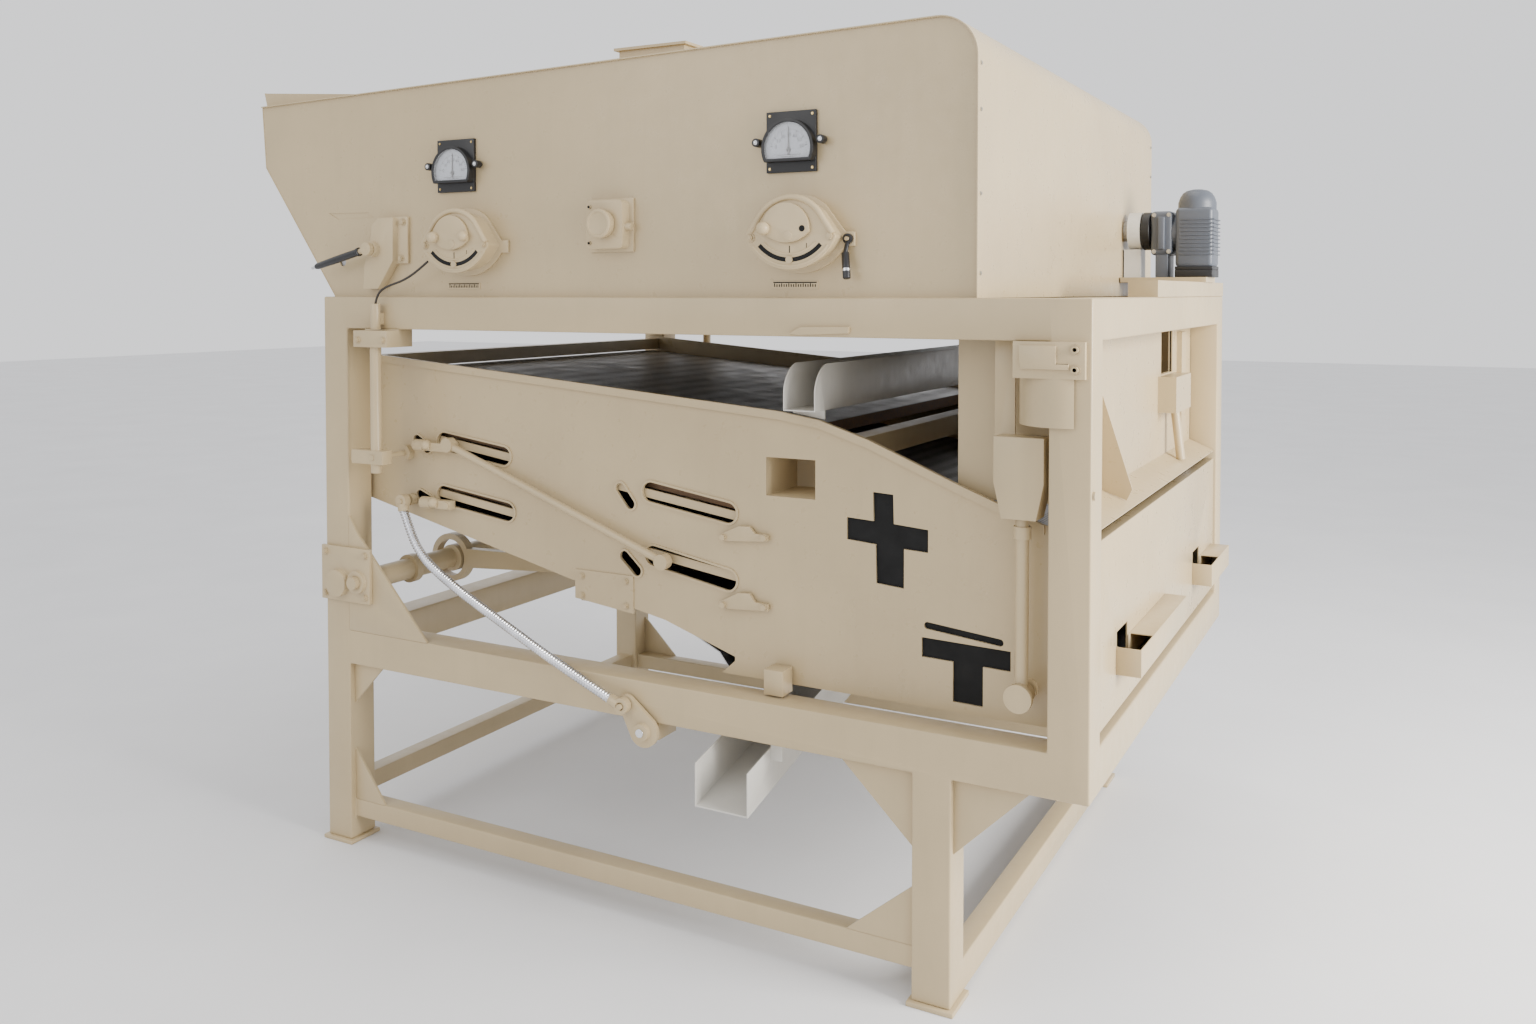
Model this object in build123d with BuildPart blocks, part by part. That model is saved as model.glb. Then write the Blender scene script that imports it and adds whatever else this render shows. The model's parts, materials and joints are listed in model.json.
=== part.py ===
"""Air-screen seed cleaner: a frame, an aspiration head and a hanging shaker shoe of screens."""
from build123d import *
import math
import os

# All sizes are in millimetres. Helper functions take places from the datum corner: the outer corner
# of the front-left post at the floor, with x along the machine, y to the rear and z up.
DATUM_X = -1088.0
DATUM_Y = -980.0

# Frame
LENGTH = 2439.0
DEPTH = 1922.0
TUBE = 100.0
TUBE_WALL = 5.0
FOOT = 12.0
MID_LOW = 577.0
MID_TOP = 685.0
FRAME_TOP = 1741.0
STAND_LENGTH = 2106.0
STAND_DEPTH = 1696.0
STAND_TUBE = 60.0

# Head
PANEL_FRONT = 25.0
PANEL = 4.0
HEAD_REAR = 2040.0
ROOF = 3.0
ROOF_LIP = 9.0
HEAD_LEFT = -300.0
HEAD_RIGHT = 2158.0
ROOF_RADIUS = 100.0
ROOF_LEFT_Z = 2362.0
ROOF_RIGHT_Z = 2418.2
HOPPER_KINK = (-285.0, 2165.0)
HOPPER_FOOT = 28.0
INLET_END = 110.0

# Moving joints
SHAKE = 8.0
DRIVE = (150.0, 845.0)
ECCENTRIC_R = 45.0
LEFT_PIVOT = (249.0, 1608.0)
LEFT_PIN = (249.0, 1246.0)
RIGHT_PIVOT = (2264.0, 1355.0)
RIGHT_PIN = (2264.0, 795.0)
LINK_PIN = (273.0, 1100.0)
ARM_HUB = (1228.0, 555.0)
ARM_PIN = (1172.0, 623.0)
FEED_ROLL = (60.0, 1850.0)
FEED_ROLL_R = 80.0
GATE = (226.0, 1887.0)
AUGER = (1600.0, 1965.0)
GAUGES = ((540.0, 2131.0), (1664.0, 2139.0))
QUADRANTS = ((585.0, 1895.0), (1690.0, 1895.0))
KNOB = (1101.0, 1942.0)
PIN_FIT = 0.05

# Shoe
SIDE_FRONT = 112.0
SIDE = 6.0
SHOE_LEFT = 30.0
SHOE_RIGHT = 2430.0
SCREEN_SLOPE = math.radians(8.0)
SCREEN_TOP_Z = 1386.0
SCREEN_LOW_Z = 1219.0
SCREEN_START = 60.0
INNER_FRONT = SIDE_FRONT + SIDE
INNER_REAR = DEPTH - INNER_FRONT

# Drive
MOTOR = (700.0, 806.0)
MOTOR_PULLEY_R = 62.0
DRIVE_PULLEY_R = 140.0
BELT_Y = (1946.0, 1960.0)

AXIS_TURN = {"X": (0, 90, 0), "Y": (90, 0, 0), "Z": (0, 0, 0)}


def at(x, y, z):
    """A point given from the datum corner."""
    return (DATUM_X + x, DATUM_Y + y, z)


def mirrored(span):
    """The same depth range on the front and on the rear of the machine."""
    return (span, (DEPTH - span[1], DEPTH - span[0]))


def block(x, y, z, mode=Mode.ADD):
    """A box from its three ranges."""
    with Locations(at((x[0] + x[1]) / 2, (y[0] + y[1]) / 2, (z[0] + z[1]) / 2)):
        Box(x[1] - x[0], y[1] - y[0], z[1] - z[0], mode=mode)


def disc(axis, centre, span, radius, mode=Mode.ADD):
    """A cylinder along an axis: its centre on the other two axes and its two ends."""
    middle = (span[0] + span[1]) / 2
    place = {"X": (middle, *centre), "Y": (centre[0], middle, centre[1]), "Z": (*centre, middle)}[axis]
    with Locations(Location(at(*place), AXIS_TURN[axis])):
        Cylinder(radius, span[1] - span[0], mode=mode)


def rod(start, end, radius, mode=Mode.ADD):
    """A round bar between two points."""
    first = Vector(*at(*start))
    second = Vector(*at(*end))
    with BuildSketch(Plane(origin=first, z_dir=second - first)) as section:
        Circle(radius)
    extrude(section.sketch, amount=(second - first).length, mode=mode)


def tube(axis, x, y, z, wall=TUBE_WALL):
    """A square tube, open at both ends of its axis."""
    inner = [(low + wall, high - wall) for low, high in (x, y, z)]
    number = "XYZ".index(axis)
    inner[number] = (x, y, z)[number]
    block(x, y, z)
    block(*inner, mode=Mode.SUBTRACT)


def plate_xz(points, y, mode=Mode.ADD, radius=0):
    """A plate with an upright outline, facing front, through a depth range."""
    with BuildSketch(Plane.XZ.offset(-(DATUM_Y + y[1]))) as outline:
        with BuildLine():
            Polyline([(DATUM_X + px, pz) for px, pz in points], close=True)
        make_face()
        if radius:
            fillet(outline.vertices(), radius)
    extrude(outline.sketch, amount=y[1] - y[0], mode=mode)


def plate_yz(points, x, mode=Mode.ADD):
    """A plate with an upright outline, facing right, through a length range."""
    with BuildSketch(Plane.YZ.offset(DATUM_X + x[0])) as outline:
        with BuildLine():
            Polyline([(DATUM_Y + py, pz) for py, pz in points], close=True)
        make_face()
    extrude(outline.sketch, amount=x[1] - x[0], mode=mode)


def slot_xz(start, end, height, y, mode=Mode.SUBTRACT):
    """A slot with round ends, between the centres of its ends."""
    length = math.dist(start, end)
    tilt = math.degrees(math.atan2(end[1] - start[1], end[0] - start[0]))
    with BuildSketch(Plane.XZ.offset(-(DATUM_Y + y[1]))) as shape:
        with Locations((DATUM_X + (start[0] + end[0]) / 2, (start[1] + end[1]) / 2)):
            SlotCenterToCenter(length, height, rotation=tilt)
    extrude(shape.sketch, amount=y[1] - y[0], mode=mode)


def sheet_xz(points, y, thick, side=Side.RIGHT, radius=0):
    """A bent sheet: an open path in the upright plane, thickened to one side."""
    path = [(DATUM_X + px, pz) for px, pz in points]
    with BuildSketch(Plane.XZ.offset(-(DATUM_Y + y[1]))) as profile:
        with BuildLine():
            if radius:
                FilletPolyline(*path, radius=radius)
            else:
                Polyline(*path)
            offset(amount=thick, side=side)
        make_face()
    extrude(profile.sketch, amount=y[1] - y[0])


os.makedirs("parts", exist_ok=True)

# ---------------------------------------------------------------- frame
LEFT_X = (0, TUBE)
RIGHT_X = (LENGTH - TUBE, LENGTH)
FRONT_Y = (0, TUBE)
REAR_Y = (DEPTH - TUBE, DEPTH)
LEG_RIGHT_X = (STAND_LENGTH - TUBE, STAND_LENGTH)
LEG_REAR_Y = (STAND_DEPTH - TUBE, STAND_DEPTH)
BETWEEN_X = (TUBE, LENGTH - TUBE)
BETWEEN_Y = (TUBE, DEPTH - TUBE)
TOP_Z = (FRAME_TOP - TUBE, FRAME_TOP)
MID_Z = (MID_LOW, MID_TOP)


with BuildPart() as frame_posts:
    for post_x, post_y, post_low in (
        (LEFT_X, FRONT_Y, FOOT),
        (RIGHT_X, FRONT_Y, MID_LOW),
        (LEFT_X, REAR_Y, MID_LOW),
        (RIGHT_X, REAR_Y, MID_LOW),
    ):
        tube("Z", post_x, post_y, (post_low, FRAME_TOP))
        block(post_x, post_y, (FRAME_TOP - TUBE_WALL, FRAME_TOP))
    for leg_x, leg_y in ((LEG_RIGHT_X, FRONT_Y), (LEFT_X, LEG_REAR_Y), (LEG_RIGHT_X, LEG_REAR_Y)):
        tube("Z", leg_x, leg_y, (FOOT, MID_LOW))
frame_posts.part.label = "frame_posts"
export_step(frame_posts.part, "parts/frame_posts.step")

FOOT_MARGIN = 11
with BuildPart() as foot_plates:
    for foot_x in (LEFT_X, LEG_RIGHT_X):
        for foot_y in (FRONT_Y, LEG_REAR_Y):
            block(
                (foot_x[0] - FOOT_MARGIN, foot_x[1] + FOOT_MARGIN),
                (foot_y[0] - FOOT_MARGIN, foot_y[1] + FOOT_MARGIN),
                (0, FOOT),
            )
foot_plates.part.label = "foot_plates"
export_step(foot_plates.part, "parts/foot_plates.step")


STAND_INSET = (TUBE - STAND_TUBE) / 2
STAND_FRONT_Z = (80, 138)
STAND_SIDE_Z = (132, 190)
with BuildPart() as frame_rails:
    for rail_y in (FRONT_Y, REAR_Y):
        tube("X", BETWEEN_X, rail_y, TOP_Z)
    for rail_x in (LEFT_X, RIGHT_X):
        tube("Y", rail_x, BETWEEN_Y, TOP_Z)
    for rail_y in (FRONT_Y, REAR_Y):
        tube("X", BETWEEN_X, rail_y, MID_Z)
    for rail_x in (LEFT_X, RIGHT_X):
        tube("Y", rail_x, BETWEEN_Y, MID_Z)
    stand_x = (TUBE, STAND_LENGTH - TUBE)
    stand_y = (TUBE, STAND_DEPTH - TUBE)
    tube("X", stand_x, (STAND_INSET, STAND_INSET + STAND_TUBE), STAND_FRONT_Z)
    tube("X", stand_x, (LEG_REAR_Y[0] + STAND_INSET, LEG_REAR_Y[1] - STAND_INSET), STAND_SIDE_Z)
    tube("Y", (STAND_INSET, STAND_INSET + STAND_TUBE), stand_y, STAND_SIDE_Z)
    tube("Y", (STAND_LENGTH - STAND_TUBE, STAND_LENGTH), stand_y, (FOOT, 95))
frame_rails.part.label = "frame_rails"
export_step(frame_rails.part, "parts/frame_rails.step")

GUSSET_FRONT_Y = (20, 28)
GUSSET_REAR_Y = (STAND_DEPTH - 28, STAND_DEPTH - 20)
POST_GUSSET = ((TUBE, 1049), (135, 995), (425, MID_TOP), (TUBE, MID_TOP))
with BuildPart() as gussets:
    for plate_y in (GUSSET_FRONT_Y, GUSSET_REAR_Y):
        plate_xz(((2006, MID_LOW), (1801, MID_LOW), (2006, 380)), plate_y)
        plate_xz(((2106, MID_LOW), (2300, MID_LOW), (2106, 388)), plate_y)
        plate_xz(((TUBE, MID_LOW), (225, MID_LOW), (TUBE, 446)), plate_y)
    plate_xz(((2006, 138), (1821, 138), (2006, 291)), GUSSET_FRONT_Y)
    plate_xz(((TUBE, 138), (227, 138), (TUBE, 301)), GUSSET_FRONT_Y)
    plate_xz(((2006, 190), (1821, 190), (2006, 342)), GUSSET_REAR_Y)
    plate_xz(((TUBE, 190), (257, 190), (TUBE, 342)), GUSSET_REAR_Y)
    for plate_y in mirrored((0, 10)):
        plate_xz(POST_GUSSET, plate_y)
        disc("Y", DRIVE, plate_y, 46, Mode.SUBTRACT)
gussets.part.label = "gussets"
export_step(gussets.part, "parts/gussets.step")

# Bearing plates of the cross shaft, on both faces of the frame, with the cap of the belt adjuster
STUB_R = 20.0
with BuildPart() as shaft_bearings:
    for plate_y, boss_y, cap_y in (
        ((-12, 0), (-24, -12), (-32, -12)),
        ((DEPTH, DEPTH + 12), (DEPTH + 12, DEPTH + 18), (DEPTH + 12, DEPTH + 18)),
    ):
        block((-8, 200), plate_y, (778, 950))
        disc("Y", DRIVE, boss_y, 36)
        disc("Y", (71, 836), cap_y, 43)
        disc("Y", DRIVE, (plate_y[0] - 20, plate_y[1] + 20), STUB_R + PIN_FIT, Mode.SUBTRACT)
shaft_bearings.part.label = "shaft_bearings"
export_step(shaft_bearings.part, "parts/shaft_bearings.step")

# ---------------------------------------------------------------- head
def head_outline():
    """The side of the head: sloped hopper wall, roof with a rolled right corner."""
    FilletPolyline(
        (DATUM_X + HEAD_LEFT, ROOF_LEFT_Z),
        (DATUM_X + HEAD_RIGHT, ROOF_RIGHT_Z),
        (DATUM_X + HEAD_RIGHT, FRAME_TOP),
        radius=ROOF_RADIUS,
    )
    Polyline(
        (DATUM_X + HEAD_RIGHT, FRAME_TOP),
        (DATUM_X + HOPPER_FOOT, FRAME_TOP),
        (DATUM_X + HOPPER_KINK[0], HOPPER_KINK[1]),
        (DATUM_X + HEAD_LEFT, ROOF_LEFT_Z),
    )


FRONT_PANEL_Y = (PANEL_FRONT, PANEL_FRONT + PANEL)
BACK_PANEL_Y = (HEAD_REAR - ROOF_LIP - PANEL, HEAD_REAR - ROOF_LIP)
HEAD_INSIDE_Y = (FRONT_PANEL_Y[1], BACK_PANEL_Y[0])
SHAFT_R = 12.0
AUGER_SHAFT_R = 20.0
NEEDLE_R = 2.5
SIGHT_SLOT = ((0, 2006), (171, 2004), (197, 1987), (40, 1986))

with BuildPart() as head_panels:
    with BuildSketch(Plane.XZ.offset(-(DATUM_Y + FRONT_PANEL_Y[1]))) as panel_outline:
        with BuildLine():
            head_outline()
        make_face()
    extrude(amount=PANEL)
    disc("Y", FEED_ROLL, FRONT_PANEL_Y, SHAFT_R + 1, Mode.SUBTRACT)
    disc("Y", GATE, FRONT_PANEL_Y, SHAFT_R + 1, Mode.SUBTRACT)
    plate_xz(SIGHT_SLOT, (PANEL_FRONT, PANEL_FRONT + 2), Mode.SUBTRACT)
    disc("Y", KNOB, FRONT_PANEL_Y, 6, Mode.SUBTRACT)
    for quadrant in QUADRANTS:
        disc("Y", quadrant, FRONT_PANEL_Y, SHAFT_R + 1, Mode.SUBTRACT)
    with BuildSketch(Plane.XZ.offset(-(DATUM_Y + BACK_PANEL_Y[1]))) as panel_outline:
        with BuildLine():
            head_outline()
        make_face()
    extrude(amount=PANEL)
head_panels.part.label = "head_panels"
export_step(head_panels.part, "parts/head_panels.step")

ROOF_Y = (PANEL_FRONT - ROOF_LIP, HEAD_REAR)
COLLAR_X = (934, 1165)
COLLAR_Y = (300, 560)
with BuildPart() as head_roof:
    sheet_xz(
        ((HEAD_LEFT, ROOF_LEFT_Z), (HEAD_RIGHT, ROOF_RIGHT_Z), (HEAD_RIGHT, FRAME_TOP)),
        ROOF_Y, ROOF, Side.LEFT, ROOF_RADIUS,
    )
    block((HEAD_LEFT + 12, INLET_END), (60, 1996), (2330, 2400), Mode.SUBTRACT)
    block(
        (COLLAR_X[0] + 12, COLLAR_X[1] - 12), (COLLAR_Y[0] + 12, COLLAR_Y[1] - 12), (2350, 2440),
        Mode.SUBTRACT,
    )
    disc("X", AUGER, (HEAD_RIGHT - 2, HEAD_RIGHT + ROOF + 2), AUGER_SHAFT_R + 2, Mode.SUBTRACT)
head_roof.part.label = "head_roof"
export_step(head_roof.part, "parts/head_roof.step")


RIM_Y = (45, 2011)
with BuildPart() as hopper_wall:
    sheet_xz(
        ((HEAD_LEFT, ROOF_LEFT_Z), HOPPER_KINK, (HOPPER_FOOT, FRAME_TOP)),
        (PANEL_FRONT - 1, HEAD_REAR - ROOF_LIP + 1), ROOF, Side.RIGHT,
    )
    block((0, 60), (0, HEAD_REAR), (FRAME_TOP - 20, FRAME_TOP), Mode.SUBTRACT)
    for board_y in ((RIM_Y[0], RIM_Y[0] + 3), (RIM_Y[1] - 3, RIM_Y[1])):
        plate_xz(((-316, 2414), (126, 2379), (126, 2375.4), (-303, 2366)), board_y)
    sheet_xz(((-303, 2366), (-316, 2414)), RIM_Y, 3, Side.RIGHT)
hopper_wall.part.label = "hopper_wall"
export_step(hopper_wall.part, "parts/hopper_wall.step")

COLLAR_TOP = 2490.0
with BuildPart() as roof_collar:
    block(COLLAR_X, COLLAR_Y, (2370, COLLAR_TOP - 8))
    block(
        (COLLAR_X[0] - 12, COLLAR_X[1] + 12), (COLLAR_Y[0] - 12, COLLAR_Y[1] + 12),
        (COLLAR_TOP - 8, COLLAR_TOP),
    )
    block(
        (COLLAR_X[0] + 4, COLLAR_X[1] - 4), (COLLAR_Y[0] + 4, COLLAR_Y[1] - 4), (2370, COLLAR_TOP),
        Mode.SUBTRACT,
    )
    plate_xz(
        (
            (HEAD_LEFT, ROOF_LEFT_Z + ROOF + 0.1), (HEAD_RIGHT, ROOF_RIGHT_Z + ROOF + 0.1),
            (HEAD_RIGHT, 2300), (HEAD_LEFT, 2300),
        ),
        (200, 700), Mode.SUBTRACT,
    )
roof_collar.part.label = "roof_collar"
export_step(roof_collar.part, "parts/roof_collar.step")

# Inside the head: hopper, settling floors with the auger trough, air walls
HOPPER_REAR_Y = 1900.0
FLOOR_START = 420.0
TROUGH_R = 78.0

FLOOR_PLATE = 4.0
TROUGH_EDGE_Z = AUGER[1]


# The vane ducts: walls each side of both damper shafts, and an end wall that carries the shaft's end
VANE_END_Y = 1400.0

# The duct that drops from the head to the foot of the shoe
DUCT_X = (2068, 2336)
DUCT_Y = (150, 1772)
DUCT_Z = (1240, FRAME_TOP)
with BuildPart() as air_duct:
    block(DUCT_X, DUCT_Y, DUCT_Z)
    block((DUCT_X[0] + 4, DUCT_X[1] - 4), (DUCT_Y[0] + 4, DUCT_Y[1] - 4), DUCT_Z, Mode.SUBTRACT)
    block((DUCT_X[1] - 5, DUCT_X[1]), (1290, 1480), (1490, 1630), Mode.SUBTRACT)
air_duct.part.label = "air_duct"
export_step(air_duct.part, "parts/air_duct.step")

# The shield behind the end opening: a plate with a ledge over the shoe, a rib, a window and a box
SHIELD_X = (2341, 2345)
SHIELD_Y = (104, 1818)

with BuildPart() as end_shield:
    block(SHIELD_X, SHIELD_Y, (1225, FRAME_TOP - TUBE))
    sheet_xz(((2341, 1229), (2345, 1229), (2429, 1193)), SHIELD_Y, 4, Side.RIGHT)
    plate_xz(((2345, 1480), (2424, 1236), (2410, 1206), (2345, 1229)), (500, 505))
    block((2340, 2346), (1290, 1480), (1490, 1630), Mode.SUBTRACT)
    block((2345, 2402), (1240, 1500), (1372, 1486))
    rod((2375, 1370, 1373), (2395, 1370, 1212), 14)
    block((2345, 2362), (1560, 1640), (1260, 1620))
end_shield.part.label = "end_shield"
export_step(end_shield.part, "parts/end_shield.step")

# ---------------------------------------------------------------- controls on the front panel
def dial_outline(centre, radius, flat):
    """A round dial with a flat foot, as a sketch on the front of the panel."""
    with BuildSketch(Plane.XZ.offset(-(DATUM_Y + 6))) as face:
        with Locations((DATUM_X + centre[0], centre[1] - 18)):
            Circle(radius)
        with Locations((DATUM_X + centre[0], centre[1] - flat)):
            Rectangle(3 * radius, 2 * radius, align=(Align.CENTER, Align.MAX), mode=Mode.SUBTRACT)
    return face.sketch


DIAL_R = 66.0
DIAL_FLAT = 44.0
NEEDLE_DROP = 22.0

with BuildPart() as gauge_dials:
    for gauge in GAUGES:
        extrude(dial_outline(gauge, DIAL_R - 0.3, DIAL_FLAT - 0.3), amount=2)
        disc("Y", (gauge[0], gauge[1] - NEEDLE_DROP), (2, 8), NEEDLE_R + 0.5, Mode.SUBTRACT)
gauge_dials.part.label = "gauge_dials"
export_step(gauge_dials.part, "parts/gauge_dials.step")

with BuildPart() as gauge_lenses:
    for gauge in GAUGES:
        extrude(dial_outline(gauge, DIAL_R - 0.2, DIAL_FLAT - 0.2), amount=13)
        extrude(dial_outline(gauge, DIAL_R + 2, DIAL_FLAT + 2), amount=10, mode=Mode.SUBTRACT)
gauge_lenses.part.label = "gauge_lenses"
export_step(gauge_lenses.part, "parts/gauge_lenses.step")

NEEDLE_LENGTH = 58.0


def needle(gauge):
    """A gauge's needle: its spindle, its hub and its pointer."""
    x0 = gauge[0]
    z0 = gauge[1] - NEEDLE_DROP
    tip_z = z0 + NEEDLE_LENGTH
    disc("Y", (x0, z0), (0, 13), NEEDLE_R)
    disc("Y", (x0, z0), (0, 3), 6)
    plate_xz(((x0 - 2.5, z0 - 14), (x0 + 2.5, z0 - 14), (x0 + 0.8, tip_z), (x0 - 0.8, tip_z)), (0.5, 2))


with BuildPart() as gauge_needle_left:
    needle(GAUGES[0])
gauge_needle_left.part.label = "gauge_needle_left"
export_step(gauge_needle_left.part, "parts/gauge_needle_left.step")

with BuildPart() as gauge_needle_right:
    needle(GAUGES[1])
gauge_needle_right.part.label = "gauge_needle_right"
export_step(gauge_needle_right.part, "parts/gauge_needle_right.step")

with BuildPart() as gauge_cases:
    for gauge in GAUGES:
        block((gauge[0] - 71, gauge[0] + 71), (15, PANEL_FRONT), (gauge[1] - 78, gauge[1] + 78))
        extrude(dial_outline(gauge, DIAL_R + 8, DIAL_FLAT + 8), amount=15)
        extrude(dial_outline(gauge, DIAL_R + 8, DIAL_FLAT + 8), amount=-9)
        extrude(dial_outline(gauge, DIAL_R, DIAL_FLAT), amount=16, mode=Mode.SUBTRACT)
        disc("Y", (gauge[0], gauge[1] - NEEDLE_DROP), (5, 14), NEEDLE_R + PIN_FIT, Mode.SUBTRACT)
        for step_x in (-92, 92):
            disc("Y", (gauge[0] + step_x, gauge[1]), (-6, 16), 11)
            disc("Y", (gauge[0] + step_x, gauge[1]), (16, PANEL_FRONT), 5)
gauge_cases.part.label = "gauge_cases"
export_step(gauge_cases.part, "parts/gauge_cases.step")


def quadrant_outline(centre, grow=0.0):
    """The casting's face: two ears joined by a low arc and a rounded top."""
    x0 = DATUM_X + centre[0]
    z0 = centre[1]
    ear = 128 + grow
    with BuildSketch(Plane.XZ) as face:
        with BuildLine():
            ThreePointArc((x0 - ear, z0 - 2), (x0, z0 - 84 - grow), (x0 + ear, z0 - 2))
            Line((x0 + ear, z0 - 2), (x0 + 72, z0 + 72 + grow))
            ThreePointArc((x0 + 72, z0 + 72 + grow), (x0, z0 + 100 + grow), (x0 - 72, z0 + 72 + grow))
            Line((x0 - 72, z0 + 72 + grow), (x0 - ear, z0 - 2))
        make_face()
        fillet(face.vertices(), 9)
    return face.sketch.moved(Location((0, DATUM_Y, 0)))


SLOT_PATH_R = 118.0
SLOT_ARC_RISE = 59.0
with BuildPart() as damper_quadrants:
    for quadrant in QUADRANTS:
        extrude(quadrant_outline(quadrant, 8).moved(Location((0, PANEL_FRONT, 0))), amount=9)
        block((quadrant[0] + 110, quadrant[0] + 152), (16, PANEL_FRONT), (1870, 1906))
        extrude(quadrant_outline(quadrant, -8).moved(Location((0, PANEL_FRONT, 0))), amount=62)
        extrude(quadrant_outline(quadrant).moved(Location((0, -34, 0))), amount=9)
        hollow_outline = quadrant_outline(quadrant, -20).moved(Location((0, PANEL_FRONT - 8, 0)))
        extrude(hollow_outline, amount=44, mode=Mode.SUBTRACT)
        with BuildSketch(Plane.XZ.offset(-(DATUM_Y - 26))) as slot_shape:
            with Locations((DATUM_X + quadrant[0], quadrant[1] + SLOT_ARC_RISE)):
                SlotArc(CenterArc((0, 0), SLOT_PATH_R, 222, 96, mode=Mode.PRIVATE), 11)
        extrude(slot_shape.sketch, amount=20, mode=Mode.SUBTRACT)
        disc("Y", quadrant, (-50, PANEL_FRONT), SHAFT_R + PIN_FIT, Mode.SUBTRACT)
damper_quadrants.part.label = "damper_quadrants"
export_step(damper_quadrants.part, "parts/damper_quadrants.step")

# The sight slot in the front panel is closed from inside, and the hopper ends before the rear bay
with BuildPart() as head_partitions:
    block((HOPPER_FOOT, HEAD_RIGHT), (DEPTH, BACK_PANEL_Y[0]), (FRAME_TOP, FRAME_TOP + 4))
    block(
        (HOPPER_FOOT + 4, HEAD_RIGHT - 4), (FRONT_PANEL_Y[1], FRONT_PANEL_Y[1] + 30),
        (FRAME_TOP, FRAME_TOP + 4),
    )
    sheet_xz(((128, 2366), (240, 1928)), (HEAD_INSIDE_Y[0], HOPPER_REAR_Y), 3, Side.LEFT)
    with BuildSketch(Plane.YZ.offset(DATUM_X + FLOOR_START)) as trough_profile:
        with BuildLine():
            inner_front = (DATUM_Y + AUGER[0] - TROUGH_R, TROUGH_EDGE_Z)
            inner_rear = (DATUM_Y + AUGER[0] + TROUGH_R, TROUGH_EDGE_Z)
            inner_low = (DATUM_Y + AUGER[0], TROUGH_EDGE_Z - TROUGH_R)
            outer_front = (inner_front[0] - FLOOR_PLATE, TROUGH_EDGE_Z)
            outer_rear = (inner_rear[0] + FLOOR_PLATE, TROUGH_EDGE_Z)
            outer_low = (inner_low[0], inner_low[1] - FLOOR_PLATE)
            ThreePointArc(inner_front, inner_low, inner_rear)
            Line(inner_rear, outer_rear)
            ThreePointArc(outer_rear, outer_low, outer_front)
            Line(outer_front, inner_front)
        make_face()
    extrude(amount=HEAD_RIGHT - 8 - FLOOR_START)
    front_edge = AUGER[0] - TROUGH_R - FLOOR_PLATE
    rear_edge = AUGER[0] + TROUGH_R + FLOOR_PLATE
    for lines in (
        ((HEAD_INSIDE_Y[0], 2250), (front_edge, 1967), (front_edge, 1971), (HEAD_INSIDE_Y[0], 2254)),
        ((HEAD_INSIDE_Y[1], 2250), (rear_edge, 1967), (rear_edge, 1971), (HEAD_INSIDE_Y[1], 2254)),
    ):
        plate_yz(lines, (FLOOR_START, HEAD_RIGHT - 8))
    for centre in QUADRANTS:
        for wall_x in (centre[0] - 130, centre[0] + 126):
            block((wall_x, wall_x + 4), (HEAD_INSIDE_Y[0], VANE_END_Y), (FRAME_TOP + 8, 1860))
        block((centre[0] - 130, centre[0] + 130), (VANE_END_Y, VANE_END_Y + 6), (FRAME_TOP + 8, 1960))
        disc("Y", centre, (VANE_END_Y, VANE_END_Y + 6), SHAFT_R + PIN_FIT, Mode.SUBTRACT)
    plate_xz(
        ((-272, 2155), (-290, 2340), (124, 2340), (200, 2080), (200, 1945), (100, 1945), (24, 1762)),
        (HOPPER_REAR_Y, HOPPER_REAR_Y + 4),
    )
    disc("Y", FEED_ROLL, (HOPPER_REAR_Y - 1, HOPPER_REAR_Y + 5), SHAFT_R + PIN_FIT, Mode.SUBTRACT)
head_partitions.part.label = "head_partitions"
export_step(head_partitions.part, "parts/head_partitions.step")


def damper(centre):
    """A damper: its pointer plate and ball on the face of the casting, its shaft and its vane."""
    x0, z0 = centre
    disc("Y", centre, (-56, VANE_END_Y + 6), SHAFT_R)
    with BuildSketch(Plane.XZ.offset(-(DATUM_Y - 44))) as pointer:
        with BuildLine():
            left = (DATUM_X + x0 - 74, z0 + 16)
            right = (DATUM_X + x0 + 58, z0 + 10)
            ThreePointArc(left, (DATUM_X + x0 - 6, z0 + 84), right)
            ThreePointArc(right, (DATUM_X + x0 - 2, z0 - 16), left)
        make_face()
        fillet(pointer.vertices(), 6)
    extrude(pointer.sketch, amount=10)
    disc("Y", (x0 - 66, z0 + 20), (-58, -44), 8)
    with Locations(at(x0 - 66, -62, z0 + 20)):
        Sphere(17)
    block((x0 - 118, x0 + 118), (60, VANE_END_Y - 10), (z0 - 3, z0 + 3))


with BuildPart() as damper_left:
    damper(QUADRANTS[0])
damper_left.part.label = "damper_left"
export_step(damper_left.part, "parts/damper_left.step")

with BuildPart() as damper_right:
    damper(QUADRANTS[1])
damper_right.part.label = "damper_right"
export_step(damper_right.part, "parts/damper_right.step")

# The clamp lever that locks the right quadrant, on its own stud
LOCK = (1827.0, 1888.0)

with BuildPart() as lock_lever:
    disc("Y", LOCK, (4, 14), 13)
    rod((LOCK[0], 9, LOCK[1] - 6), (1822, 4, 1852), 6)
    disc("Y", LOCK, (0, 18), 5 + PIN_FIT, Mode.SUBTRACT)
    rod((1822, 4, 1852), (1834, -12, 1788), 10)
    fillet(lock_lever.edges(Select.LAST).filter_by(GeomType.CIRCLE).sort_by(Axis.Z)[0], 3)
lock_lever.part.label = "lock_lever"
export_step(lock_lever.part, "parts/lock_lever.step")


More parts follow.
